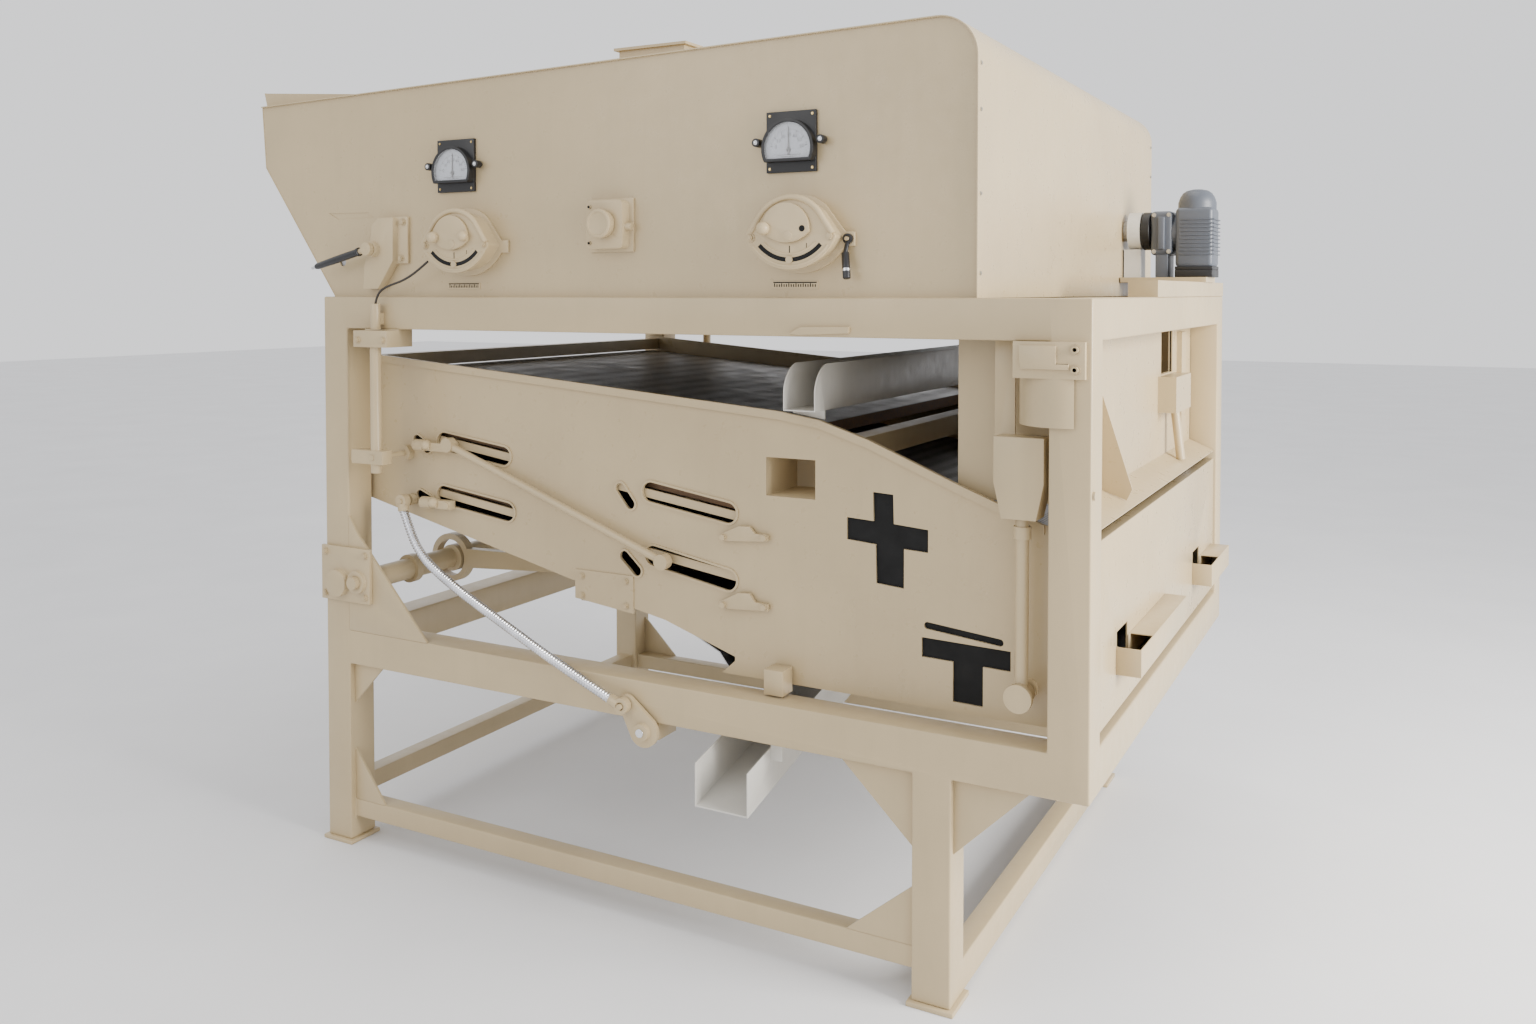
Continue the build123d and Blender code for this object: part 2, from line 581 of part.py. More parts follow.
with BuildPart() as feed_lever:
    disc("Y", GATE, (-42, HOPPER_REAR_Y - 8), SHAFT_R)
    disc("Y", GATE, (-42, -26), 20)
    rod((GATE[0], -34, GATE[1]), (196, -34, 1879.9), 9)
    plate_xz(
        (
            (GATE[0] - 2, GATE[1] + 3),
            (GATE[0] - 66, GATE[1] - 34),
            (GATE[0] - 63, GATE[1] - 38),
            (GATE[0] + 2, GATE[1] - 2),
        ),
        (40, HOPPER_REAR_Y - 12),
    )
feed_lever.part.label = "feed_lever"
export_step(feed_lever.part, "parts/feed_lever.step")

with BuildPart() as feed_lever_grip:
    rod((196, -34, 1879.9), (6, -34, 1834.9), 12)
    rod((6, -34, 1834.9), (-14, -34, 1830.2), 8)
feed_lever_grip.part.label = "feed_lever_grip"
export_step(feed_lever_grip.part, "parts/feed_lever_grip.step")

with BuildPart() as control_boxes:
    plate_xz(
        (
            (216, 1960), (240, 1982), (305, 1984), (303, 1850),
            (240, 1765), (178, 1765), (184, 1842), (198, 1872),
        ),
        (-5, PANEL_FRONT), radius=5,
    )
    block((296, 346), (15, PANEL_FRONT), (1843, 1986))
    disc("Y", GATE, (-24, 0), 24)
    disc("Y", GATE, (-26, PANEL_FRONT), SHAFT_R + PIN_FIT, Mode.SUBTRACT)
    block((1041, 1162), (-15, PANEL_FRONT), (1874, 2008))
    fillet(control_boxes.edges(Select.LAST).filter_by(Axis.Y), 14)
    block((1030, 1176), (17, PANEL_FRONT), (1866, 2014))
    disc("X", (4, 1935), (1160, 1180), 10)
    disc("Y", KNOB, (-16, PANEL_FRONT), 6 + PIN_FIT, Mode.SUBTRACT)
control_boxes.part.label = "control_boxes"
export_step(control_boxes.part, "parts/control_boxes.step")

KNOB_R = 41.0
with BuildPart() as speed_knob:
    disc("Y", KNOB, (-46, -16), KNOB_R)
    fillet(speed_knob.edges().filter_by(GeomType.CIRCLE).sort_by(Axis.Y)[0], 7)
    disc("Y", KNOB, (-48, -44), KNOB_R - 12)
    disc("Y", KNOB, (-16, 34), 6)
speed_knob.part.label = "speed_knob"
export_step(speed_knob.part, "parts/speed_knob.step")


# Control cable from the left quadrant to its guide tube
CABLE_D = 7.0
CABLE_ROUTE = (
    (470, -30, 1846),
    (436, -32, 1822),
    (400, -30, 1803),
    (362, -28, 1788),
    (322, -27, 1778),
    (284, -26, 1766),
    (258, -25, 1747),
    (250, -25, 1719),
)


def cord_radii(route):
    """The bend radius at each inner point of a cord's route, as large as its two runs allow."""
    points = [Vector(*at(*place)) for place in route]
    radii = []
    for before, corner, after in zip(points, points[1:], points[2:]):
        turn = math.radians((corner - before).get_angle(after - corner))
        shorter = min((corner - before).length, (after - corner).length)
        radii.append(0.45 * shorter / math.tan(turn / 2))
    return radii


def cord(route, diameter):
    """A plain cord: straight runs joined by tangent arcs."""
    radii = cord_radii(route)
    points = [Vector(*at(*place)) for place in route]
    with BuildLine() as path:
        FilletPolyline(*points, radius=radii)
    start = path.wires()[0] @ 0
    with BuildSketch(Plane(origin=start, z_dir=path.wires()[0] % 0)) as section:
        Circle(diameter / 2)
    sweep(section.sketch, path=path.wires()[0])
    print("cord radii", [round(radius) for radius in radii], "length", round(path.wires()[0].length))
    print("section times length", round(math.pi * diameter**2 / 4 * path.wires()[0].length))


with BuildPart() as control_cable:
    cord(CABLE_ROUTE, CABLE_D)
control_cable.part.label = "control_cable"
export_step(control_cable.part, "parts/control_cable.step")
print("cable volume", round(control_cable.part.volume))


# ---------------------------------------------------------------- top drive of the auger
MOTOR_X = 2401.0


with BuildPart() as gearmotor:
    block((2340, 2462), (1532, 1668), (1805, 1830))
    disc("Z", (MOTOR_X, AUGER[0]), (1830, 2062), 62)
    for fin in range(15):
        disc("Z", (MOTOR_X, AUGER[0]), (1880 + 9 * fin, 1884 + 9 * fin), 69)
    disc("Z", (MOTOR_X, AUGER[0]), (2030, 2080), 68)
    disc("Z", (MOTOR_X, AUGER[0]), (2080, 2103), 58)
    fillet(gearmotor.edges().filter_by(GeomType.CIRCLE).sort_by(Axis.Z)[-1], 18)
    block((2258, 2331), (1540, 1660), (1880, 2030))
    fillet(gearmotor.edges(Select.LAST).filter_by(Axis.X), 12)
    block((2266, 2324), (1560, 1640), (1805, 1880))
gearmotor.part.label = "gearmotor"
export_step(gearmotor.part, "parts/gearmotor.step")

BEARING_X = (2180, 2222)
with BuildPart() as auger_bearing:
    disc("X", AUGER, BEARING_X, 65)
    disc("X", AUGER, (HEAD_RIGHT + ROOF, BEARING_X[0]), 34)
    block((2166, BEARING_X[1]), (1560, 1640), (1805, 1902))
    disc("X", AUGER, (2150, 2230), AUGER_SHAFT_R + PIN_FIT, Mode.SUBTRACT)
auger_bearing.part.label = "auger_bearing"
export_step(auger_bearing.part, "parts/auger_bearing.step")

AUGER_R = 68.0
AUGER_PITCH = 120.0
with BuildPart() as auger:
    disc("X", AUGER, (440, 2254), AUGER_SHAFT_R)
    for turn in range(13):
        flight_x = 500 + AUGER_PITCH * turn
        with Locations(Location(at(flight_x, *AUGER), (0, 90, 0)) * Location((0, 0, 0), (0, 18, 0))):
            Cylinder(AUGER_R, 5)
auger.part.label = "auger"
export_step(auger.part, "parts/auger.step")

with BuildPart() as shaft_coupling:
    disc("X", AUGER, (2225, 2254), 65)
    fillet(shaft_coupling.edges().filter_by(GeomType.CIRCLE), 4)
    disc("X", AUGER, (2224, 2255), AUGER_SHAFT_R, Mode.SUBTRACT)
shaft_coupling.part.label = "shaft_coupling"
export_step(shaft_coupling.part, "parts/shaft_coupling.step")

# ---------------------------------------------------------------- feed roll
ROLL_FLUTES = 12
with BuildPart() as feed_roll:
    disc("Y", FEED_ROLL, (40, HOPPER_REAR_Y - 10), FEED_ROLL_R)
    for flute in range(ROLL_FLUTES):
        angle = 2 * math.pi * flute / ROLL_FLUTES
        flute_x = FEED_ROLL[0] + FEED_ROLL_R * math.cos(angle)
        flute_centre = (flute_x, FEED_ROLL[1] + FEED_ROLL_R * math.sin(angle))
        disc("Y", flute_centre, (40, HOPPER_REAR_Y - 10), 10, Mode.SUBTRACT)
    disc("Y", FEED_ROLL, (30, HOPPER_REAR_Y + 12), SHAFT_R)
feed_roll.part.label = "feed_roll"
export_step(feed_roll.part, "parts/feed_roll.step")


# ---------------------------------------------------------------- shoe
SHOE_TOP = (
    (SHOE_LEFT, 1562), (1583, 1437), (1701, 1419), (1844, 1374), (2087, 1276), (2301, 1195), (2424, 1165),
)
SHOE_BOTTOM = (
    (2424, 705), (1402, 708), (1443, 745), (1443, 757),
    (1216, 830), (1110, 850), (905, 906), (SHOE_LEFT, 1103),
)
LONG_SLOTS = (
    ((400, 1289), (635, 1258)),
    ((398, 1122), (649, 1089)),
    ((1170, 1189), (1421, 1151)),
    ((1179, 1009), (1421, 966)),
)
LONG_SLOT_HEIGHT = 56.0
SHORT_SLOTS = (
    ((287, 1289), (330, 1264)),
    ((298, 1115), (341, 1098)),
    ((1066, 1192), (1100, 1150)),
    ((1080, 998), (1122, 960)),
)
SHORT_SLOT_HEIGHT = 30.0
SLOT_RIM = 6.0
DRIVE_BEAM = ((920, 1000), (850, 930))
LEFT_PIN_R = 9.0


def shoe_side(y, outer):
    """A side plate of the shoe with its slots, port and cut-outs; outer is its outer face."""
    rim_y = (min(y[0], outer), max(y[1], outer))
    plate_xz(SHOE_TOP + SHOE_BOTTOM, y)
    plate_xz(((905, 943), (1110, 943), (1110, 835), (905, 858)), rim_y)
    for start, end in LONG_SLOTS:
        slot_xz(start, end, LONG_SLOT_HEIGHT + 2 * SLOT_RIM, rim_y, Mode.ADD)
    for start, end in SHORT_SLOTS:
        slot_xz(start, end, SHORT_SLOT_HEIGHT + 2 * SLOT_RIM, rim_y, Mode.ADD)
    for start, end in LONG_SLOTS:
        slot_xz(start, end, LONG_SLOT_HEIGHT, rim_y)
    for start, end in SHORT_SLOTS:
        slot_xz(start, end, SHORT_SLOT_HEIGHT, rim_y)
    block((1540, 1687), y, (1208, 1312), Mode.SUBTRACT)
    plate_xz(
        (
            (1852, 1241), (1908, 1238), (1910, 1163), (2003, 1156), (2003, 1098), (1938, 1101),
            (1938, 1000), (1862, 1006), (1860, 1106), (1779, 1112), (1779, 1170), (1854, 1166),
        ),
        y, Mode.SUBTRACT,
    )
    plate_xz(
        (
            (1987, 883), (2218, 877), (2218, 827), (2148, 829),
            (2148, 729), (2070, 731), (2070, 831), (1987, 833),
        ),
        y, Mode.SUBTRACT,
    )
    slot_xz((2002, 914), (2191, 895), 18, y)


LIP = 22.0
with BuildPart() as shoe_sides:
    shoe_side((SIDE_FRONT, INNER_FRONT), SIDE_FRONT - 4)
    shoe_side((INNER_REAR, DEPTH - SIDE_FRONT), DEPTH - SIDE_FRONT + 4)
    for lip_y in mirrored((SIDE_FRONT - 9, SIDE_FRONT)):
        plate_xz(SHOE_TOP[:6] + tuple((px, pz - LIP) for px, pz in reversed(SHOE_TOP[:6])), lip_y)
shoe_sides.part.label = "shoe_sides"
export_step(shoe_sides.part, "parts/shoe_sides.step")

TROUGHS_Y = ((300, 930), (1390, 1760))
with BuildPart() as shoe_end_panel:
    block((2424, SHOE_RIGHT), (SIDE_FRONT, DEPTH - SIDE_FRONT), (705, 1165))
    block((2400, SHOE_RIGHT), (INNER_FRONT, INNER_REAR), (1159, 1165))
    for trough_y in TROUGHS_Y:
        block((2420, 2434), (trough_y[0] + 8, trough_y[0] + 130), (816, 905), Mode.SUBTRACT)
shoe_end_panel.part.label = "shoe_end_panel"
export_step(shoe_end_panel.part, "parts/shoe_end_panel.step")

TROUGH_X = (SHOE_RIGHT, 2492)
TROUGH_MOUTH = 150.0
with BuildPart() as outlet_troughs:
    for trough_y in TROUGHS_Y:
        block(TROUGH_X, trough_y, (800, 870))
        inside_y = (trough_y[0] + 3, trough_y[1] - 3)
        block((TROUGH_X[0] + 3, TROUGH_X[1] - 3), inside_y, (803, 871), Mode.SUBTRACT)
        block((TROUGH_X[0], TROUGH_X[0] + 3), (trough_y[0] + 8, trough_y[0] + 130), (816, 871), Mode.SUBTRACT)
        block(TROUGH_X, (trough_y[0] + TROUGH_MOUTH, trough_y[1]), (867, 870))
outlet_troughs.part.label = "outlet_troughs"
export_step(outlet_troughs.part, "parts/outlet_troughs.step")


PAN_HOLE_Y = (300, 620)
with BuildPart() as shoe_pan:
    sheet_xz(
        ((40, 1134), (1000, 942), (1392, 762), (1424, 722), (2418, 716)),
        (INNER_FRONT, INNER_REAR), 3, Side.RIGHT,
    )
    block((1440, 1580), PAN_HOLE_Y, (700, 740), Mode.SUBTRACT)
shoe_pan.part.label = "shoe_pan"
export_step(shoe_pan.part, "parts/shoe_pan.step")


def deck(first, last, start_z, slope, drop, thick, y):
    """A sloped slab between two x values, drop below the screen's plane."""
    top = [(px, start_z - (px - SCREEN_START) * math.tan(slope) - drop) for px in (first, last)]
    plate_xz((top[0], top[1], (top[1][0], top[1][1] - thick), (top[0][0], top[0][1] - thick)), y)


SCALP_SLOPE = math.radians(4.6)
SCALP_Z = 1500.0
FRAME_Y = (140, DEPTH - 140)
FRAME_DEEP = 36.0
RAIL_WIDE = 30.0
SHEET = 2.0
DECKS = ((SCALP_Z, SCALP_SLOPE, 1570), (SCREEN_TOP_Z, SCREEN_SLOPE, 2300), (SCREEN_LOW_Z, SCREEN_SLOPE, 2300))
with BuildPart() as screen_frames:
    for deck_z, deck_slope, deck_end in DECKS:
        for rail_y in mirrored((FRAME_Y[0], FRAME_Y[0] + RAIL_WIDE)):
            deck(SCREEN_START, deck_end, deck_z, deck_slope, SHEET, FRAME_DEEP - SHEET, rail_y)
        for bar_x in (SCREEN_START, deck_end - RAIL_WIDE):
            deck(bar_x, bar_x + RAIL_WIDE, deck_z, deck_slope, SHEET, FRAME_DEEP - SHEET, FRAME_Y)
screen_frames.part.label = "screen_frames"
export_step(screen_frames.part, "parts/screen_frames.step")


with BuildPart() as screens:
    for deck_z, deck_slope, deck_end in DECKS:
        deck(SCREEN_START, deck_end, deck_z, deck_slope, 0, SHEET, FRAME_Y)
screens.part.label = "screens"
export_step(screens.part, "parts/screens.step")

with BuildPart() as shoe_supports:
    for member_x, member_z in (
        ((38, 88), (1505, 1550)),
        ((1735, 1795), (1310, 1370)),
        ((2350, 2410), (1070, 1130)),
    ):
        tube("Y", member_x, (INNER_FRONT, INNER_REAR), member_z, 3)
    tube("Y", DRIVE_BEAM[0], (INNER_FRONT, INNER_REAR), DRIVE_BEAM[1], 4)
    block((SHOE_LEFT, SHOE_LEFT + 3), (INNER_FRONT, INNER_REAR), (1112, 1430))
    for (deck_z, deck_slope, _), last_ledge in zip(DECKS, ((1400, 1560), (2022, 2290), (2236, 2290))):
        for ledge_start, ledge_end in ((SCREEN_START, 240), last_ledge):
            for ledge_y in mirrored((INNER_FRONT, FRAME_Y[0] + RAIL_WIDE - 4)):
                deck(ledge_start, ledge_end, deck_z, deck_slope, FRAME_DEEP, 5, ledge_y)
shoe_supports.part.label = "shoe_supports"
export_step(shoe_supports.part, "parts/shoe_supports.step")

# Rubber seals behind the cross and T cut-outs, and the steel box behind the port
with BuildPart() as cutout_seals:
    for seal_y in mirrored((INNER_FRONT, INNER_FRONT + 4)):
        block((1765, 2015), seal_y, (990, 1255))
        block((1975, 2230), seal_y, (723, 925))
cutout_seals.part.label = "cutout_seals"
export_step(cutout_seals.part, "parts/cutout_seals.step")


CHUTE_X = (1618, 1711)
CHUTE_Z = (1444, 1567)
with BuildPart() as scalping_chute:
    block(CHUTE_X, (60, 1780), CHUTE_Z)
    block((CHUTE_X[0] + 3, CHUTE_X[1] - 3), (59, 1781), (CHUTE_Z[0] + 3, CHUTE_Z[1] + 1), Mode.SUBTRACT)
    for wall_x in (CHUTE_X[0], CHUTE_X[1] - 3):
        with BuildSketch(Plane.YZ.offset(DATUM_X + wall_x - 1)) as corner_cut:
            with BuildLine():
                Line((DATUM_Y + 58, 1479), (DATUM_Y + 58, 1569))
                Line((DATUM_Y + 58, 1569), (DATUM_Y + 148, 1569))
                ThreePointArc((DATUM_Y + 148, 1569), (DATUM_Y + 84.36, 1542.64), (DATUM_Y + 58, 1479))
            make_face()
        extrude(corner_cut.sketch, amount=5, mode=Mode.SUBTRACT)
    plate_xz(((CHUTE_X[0], 1444), (CHUTE_X[1], 1444), (CHUTE_X[1], 1420), (CHUTE_X[0], 1434)), (118, 124))
scalping_chute.part.label = "scalping_chute"
export_step(scalping_chute.part, "parts/scalping_chute.step")


with BuildPart() as shoe_fittings:
    for port_y, hollow_y in (
        ((INNER_FRONT, 300), (INNER_FRONT - 1, 297)),
        ((DEPTH - 300, INNER_REAR), (DEPTH - 297, INNER_REAR + 1)),
    ):
        block((1537, 1690), port_y, (1205, 1315))
        block((1540, 1687), hollow_y, (1208, 1312), Mode.SUBTRACT)
    for outlet_y, hollow_y in (
        ((50, 108), (53, 108)),
        ((DEPTH - 108, DEPTH - 50), (DEPTH - 108, DEPTH - 53)),
    ):
        block((1566, 1622), outlet_y, (690, 757))
        block((1569, 1619), hollow_y, (689, 754), Mode.SUBTRACT)
    for bracket_y in mirrored((96, 108)):
        plate_xz(
            ((1402, 1074), (1551, 1086), (1551, 1102), (1512, 1104), (1496, 1122), (1462, 1120), (1402, 1092)),
            bracket_y,
        )
        plate_xz(
            ((1402, 889), (1552, 898), (1552, 916), (1512, 918), (1496, 940), (1462, 938), (1402, 907)),
            bracket_y,
        )
shoe_fittings.part.label = "shoe_fittings"
export_step(shoe_fittings.part, "parts/shoe_fittings.step")

# Pins of the hangers and of the flexible link, on the shoe
RIGHT_PIN_R = 9.0

# ---------------------------------------------------------------- brush carriage on the shoe
UPPER_BAR_DROP = SCREEN_TOP_Z - (372 - SCREEN_START) * math.tan(SCREEN_SLOPE) - 1293
BAR_HALF = 12.0
BRUSH_XS = tuple(range(380, 1500, 220))

with BuildPart() as brushes:
    for deck_z in (SCREEN_TOP_Z, SCREEN_LOW_Z):
        for brush_x in BRUSH_XS:
            brush_thick = UPPER_BAR_DROP - SHEET - 9
            deck(brush_x, brush_x + 30, deck_z, SCREEN_SLOPE, SHEET + 1, brush_thick, (180, DEPTH - 180))
brushes.part.label = "brushes"
export_step(brushes.part, "parts/brushes.step")

LINK_ROD_Y = 86.0
LINK_ROD_START = (440, LINK_ROD_Y, 1283)
LINK_ROD_END = (1225, LINK_ROD_Y, 1001)
with BuildPart() as brush_carriage:
    for deck_z in (SCREEN_TOP_Z, SCREEN_LOW_Z):
        for bar_y in mirrored((INNER_FRONT + 2, INNER_FRONT + 10)):
            deck(330, 1500, deck_z, SCREEN_SLOPE, UPPER_BAR_DROP - BAR_HALF, 2 * BAR_HALF, bar_y)
        for brush_x in BRUSH_XS:
            deck(brush_x, brush_x + 30, deck_z, SCREEN_SLOPE, UPPER_BAR_DROP - 8, 16, (128, DEPTH - 128))
    rod(LINK_ROD_START, LINK_ROD_END, 11)
    for end in (LINK_ROD_START, LINK_ROD_END):
        disc("Y", (end[0], end[2]), (72, 100), 22)
        disc("Y", (end[0], end[2]), (72, INNER_FRONT + 2), 10)
brush_carriage.part.label = "brush_carriage"
export_step(brush_carriage.part, "parts/brush_carriage.step")

# ---------------------------------------------------------------- suspension
PIN_R = 6.0
EYE_PLAY = 0.8
HANGER_Y = (-45, -5)


GUARD = 3.0
GUARD_Z = (1443, 1556)
with BuildPart() as small_plates:
    block((500, 625), (23, PANEL_FRONT), (1763, 1783))
    block((1605, 1738), (23, PANEL_FRONT), (1763, 1783))
    plate_xz(((1669, 1648), (1702, 1666), (1837, 1668), (1835, 1652), (1700, 1646)), (-8, 0))
    for face, turn in ((DATUM_Y, 1), (DATUM_Y + DEPTH, -1)):
        with BuildSketch(Plane.XY.offset(GUARD_Z[0])) as guard_plan:
            with BuildLine():
                near = (DATUM_X + 2250, face + 66 * turn)
                far = (DATUM_X + 2400, face - 9 * turn)
                ThreePointArc(near, (DATUM_X + 2290, face + 8 * turn), far)
                offset(amount=GUARD, side=Side.LEFT)
            make_face()
        extrude(guard_plan.sketch, amount=GUARD_Z[1] - GUARD_Z[0])
small_plates.part.label = "small_plates"
export_step(small_plates.part, "parts/small_plates.step")


def left_hanger(y):
    """A left hanger through a depth range: eye, rod and the clamp on its lower pin."""
    middle = (y[0] + y[1]) / 2
    disc("Y", LEFT_PIVOT, (middle - 15, middle + 15), 17)
    disc("Z", (LEFT_PIVOT[0], middle), (1198, LEFT_PIVOT[1]), 17)
    block((165, 292), y, (1226, 1268))
    block((156, 165), (middle - 14, middle + 14), (1232, 1262))
    disc("Y", LEFT_PIVOT, (middle - 18, middle + 18), PIN_R + PIN_FIT, Mode.SUBTRACT)
    disc("Y", LEFT_PIN, (y[0] - 1, y[1] + 1), LEFT_PIN_R + EYE_PLAY, Mode.SUBTRACT)


def right_hanger(y, cap_y):
    """A right hanger through a depth range: eye, rod, collar, lower eye and its round cap."""
    middle = (y[0] + y[1]) / 2
    disc("Y", RIGHT_PIVOT, (middle - 18, middle + 18), 22)
    disc("Z", (RIGHT_PIVOT[0], middle), (RIGHT_PIN[1], RIGHT_PIVOT[1]), 16)
    disc("Z", (RIGHT_PIVOT[0], middle), (1170, 1200), 21)
    disc("Y", RIGHT_PIN, y, 27)
    disc("Y", RIGHT_PIN, cap_y, 34)
    disc("Y", RIGHT_PIVOT, (middle - 20, middle + 20), PIN_R + PIN_FIT, Mode.SUBTRACT)
    bore_y = (y[0], y[1] + 1) if cap_y[1] <= y[0] else (y[0] - 1, y[1])
    disc("Y", RIGHT_PIN, bore_y, RIGHT_PIN_R + EYE_PLAY, Mode.SUBTRACT)


with BuildPart() as left_hangers:
    left_hanger(HANGER_Y)
    left_hanger((DEPTH - HANGER_Y[1], DEPTH - HANGER_Y[0]))
left_hangers.part.label = "left_hangers"
export_step(left_hangers.part, "parts/left_hangers.step")


with BuildPart() as right_hangers:
    right_hanger((30, 70), (14, 30))
    right_hanger((DEPTH - 70, DEPTH - 30), (DEPTH - 30, DEPTH - 14))
right_hangers.part.label = "right_hangers"
export_step(right_hangers.part, "parts/right_hangers.step")

# ---------------------------------------------------------------- shoe drive
SHAFT_TUBE_R = 34.0
ECCENTRIC_YS = ((400, 440), (1400, 1440))
with BuildPart() as eccentric_shaft:
    disc("Y", DRIVE, (12, DEPTH - 12), SHAFT_TUBE_R)
    disc("Y", DRIVE, (-40, 1975), STUB_R)
    disc("Y", DRIVE, (205, 232), SHAFT_TUBE_R + 12)
    for disc_y in ECCENTRIC_YS:
        disc("Y", (DRIVE[0] + SHAKE, DRIVE[1]), disc_y, ECCENTRIC_R)
eccentric_shaft.part.label = "eccentric_shaft"
export_step(eccentric_shaft.part, "parts/eccentric_shaft.step")

RING_R = ECCENTRIC_R + 2 * SHAKE + 1
with BuildPart() as pitmans:
    for disc_y in ECCENTRIC_YS:
        ring_y = (disc_y[0] + 4, disc_y[1] - 4)
        disc("Y", DRIVE, ring_y, RING_R + 20)
        plate_xz(((200, 815), (920, 862), (920, 902), (200, 880)), ring_y)
        disc("Y", DRIVE, ring_y, RING_R, Mode.SUBTRACT)
pitmans.part.label = "pitmans"
export_step(pitmans.part, "parts/pitmans.step")

SHELF_Y = (1480, DEPTH)
with BuildPart() as support_beams:
    tube("X", BETWEEN_X, LEG_REAR_Y, MID_Z)
    block((2357, LENGTH), (740, 1929), (FRAME_TOP, 1788))
    block((2166, 2446), (1505, 1695), (1788, 1805))
    block((580, 830), SHELF_Y, (MID_TOP, MID_TOP + 12))
support_beams.part.label = "support_beams"
export_step(support_beams.part, "parts/support_beams.step")

MOTOR_SHAFT_R = 14.0
with BuildPart() as drive_motors:
    disc("Y", FEED_ROLL, (HOPPER_REAR_Y + 14, BACK_PANEL_Y[0]), 46)
    block((30, 90), (HOPPER_REAR_Y + 4, BACK_PANEL_Y[0]), (1785, 1830))
    disc("Y", MOTOR, (1520, 1790), 88)
    for fin in range(24):
        with Locations(Location(at(MOTOR[0], 1655, MOTOR[1]), (0, 15 * fin, 0))):
            with Locations((90, 0, 0)):
                Box(12, 220, 3)
    block((620, 780), (1560, 1750), (MID_TOP + 12, 760))
    disc("Y", MOTOR, (1500, 1800), MOTOR_SHAFT_R + PIN_FIT, Mode.SUBTRACT)
drive_motors.part.label = "drive_motors"
export_step(drive_motors.part, "parts/drive_motors.step")

with BuildPart() as motor_pulley:
    disc("Y", MOTOR, (1600, 1966), MOTOR_SHAFT_R)
    disc("Y", MOTOR, (1941, 1965), MOTOR_PULLEY_R)
    disc("Y", MOTOR, BELT_Y, MOTOR_PULLEY_R + 1, Mode.SUBTRACT)
    disc("Y", MOTOR, BELT_Y, MOTOR_PULLEY_R - 12)
motor_pulley.part.label = "motor_pulley"
export_step(motor_pulley.part, "parts/motor_pulley.step")

with BuildPart() as drive_pulley:
    disc("Y", DRIVE, (1941, 1965), DRIVE_PULLEY_R)
    disc("Y", DRIVE, BELT_Y, DRIVE_PULLEY_R + 1, Mode.SUBTRACT)
    disc("Y", DRIVE, BELT_Y, DRIVE_PULLEY_R - 12)
    with Locations(Location(at(DRIVE[0], 1953, DRIVE[1]), (90, 0, 0))):
        with PolarLocations(82, 5):
            Cylinder(26, 40, mode=Mode.SUBTRACT)
    disc("Y", DRIVE, (1930, 1970), STUB_R, Mode.SUBTRACT)
drive_pulley.part.label = "drive_pulley"
export_step(drive_pulley.part, "parts/drive_pulley.step")

# Belt loop: two arcs and two straight runs, standing clear of the pulley floors
BELT_GAP = 0.4
BELT_DEEP = 9.0


def belt_loop(extra):
    """The closed outline of a loop round both pulleys, extra above their floors."""
    big = DRIVE_PULLEY_R - 12 + extra
    small = MOTOR_PULLEY_R - 12 + extra
    span = math.dist(DRIVE, MOTOR)
    along = math.atan2(MOTOR[1] - DRIVE[1], MOTOR[0] - DRIVE[0])
    lean = math.acos((big - small) / span)
    big_c = Vector(DATUM_X + DRIVE[0], DRIVE[1])
    small_c = Vector(DATUM_X + MOTOR[0], MOTOR[1])
    turns = (along + lean, along - lean, along, along + math.pi)
    spoke = [Vector(math.cos(turn), math.sin(turn)) for turn in turns]
    big_up, big_down = (big_c + spoke[0] * big, big_c + spoke[1] * big)
    small_up, small_down = (small_c + spoke[0] * small, small_c + spoke[1] * small)
    with BuildSketch(Plane.XZ.offset(-(DATUM_Y + BELT_Y[1] - 1))) as loop:
        with BuildLine():
            Line(big_up, small_up)
            ThreePointArc(small_up, small_c + spoke[2] * small, small_down)
            Line(small_down, big_down)
            ThreePointArc(big_down, big_c + spoke[3] * big, big_up)
        make_face()
    return loop.sketch


with BuildPart() as drive_belt:
    extrude(belt_loop(BELT_GAP + BELT_DEEP), amount=BELT_Y[1] - BELT_Y[0] - 2)
    extrude(belt_loop(BELT_GAP), amount=BELT_Y[1] - BELT_Y[0] - 2, mode=Mode.SUBTRACT)
drive_belt.part.label = "drive_belt"
export_step(drive_belt.part, "parts/drive_belt.step")

# ---------------------------------------------------------------- flexible link and rocker arm
HOSE_D = 26.0
HOSE_ROUTE = (
    (276, 60, 1070),
    (309, 52, 1014),
    (346, 44, 963),
    (406, 36, 914),
    (539, 22, 852),
    (708, 4, 788),
    (945, -24, 700),
    (1132, -36, 635),
)
with BuildPart() as hose:
    cord(HOSE_ROUTE, HOSE_D)
hose.part.label = "hose"
export_step(hose.part, "parts/hose.step")
print("hose volume", round(hose.part.volume))

LINK_EYE_Y = (48, 72)
ARM_EYE_Y = (-48, -26)
with BuildPart() as hose_ends:
    disc("Y", LINK_PIN, LINK_EYE_Y, 21)
    rod((273, 60, 1092), HOSE_ROUTE[0], 17)
    disc("Y", LINK_PIN, (40, 80), 8 + PIN_FIT, Mode.SUBTRACT)
    rod(HOSE_ROUTE[-1], (1160, -37, 626), 15)
    disc("Y", ARM_PIN, ARM_EYE_Y, 22)
    disc("Y", ARM_PIN, (ARM_EYE_Y[0] - 1, ARM_EYE_Y[1] + 1), 11, Mode.SUBTRACT)
hose_ends.part.label = "hose_ends"
export_step(hose_ends.part, "parts/hose_ends.step")

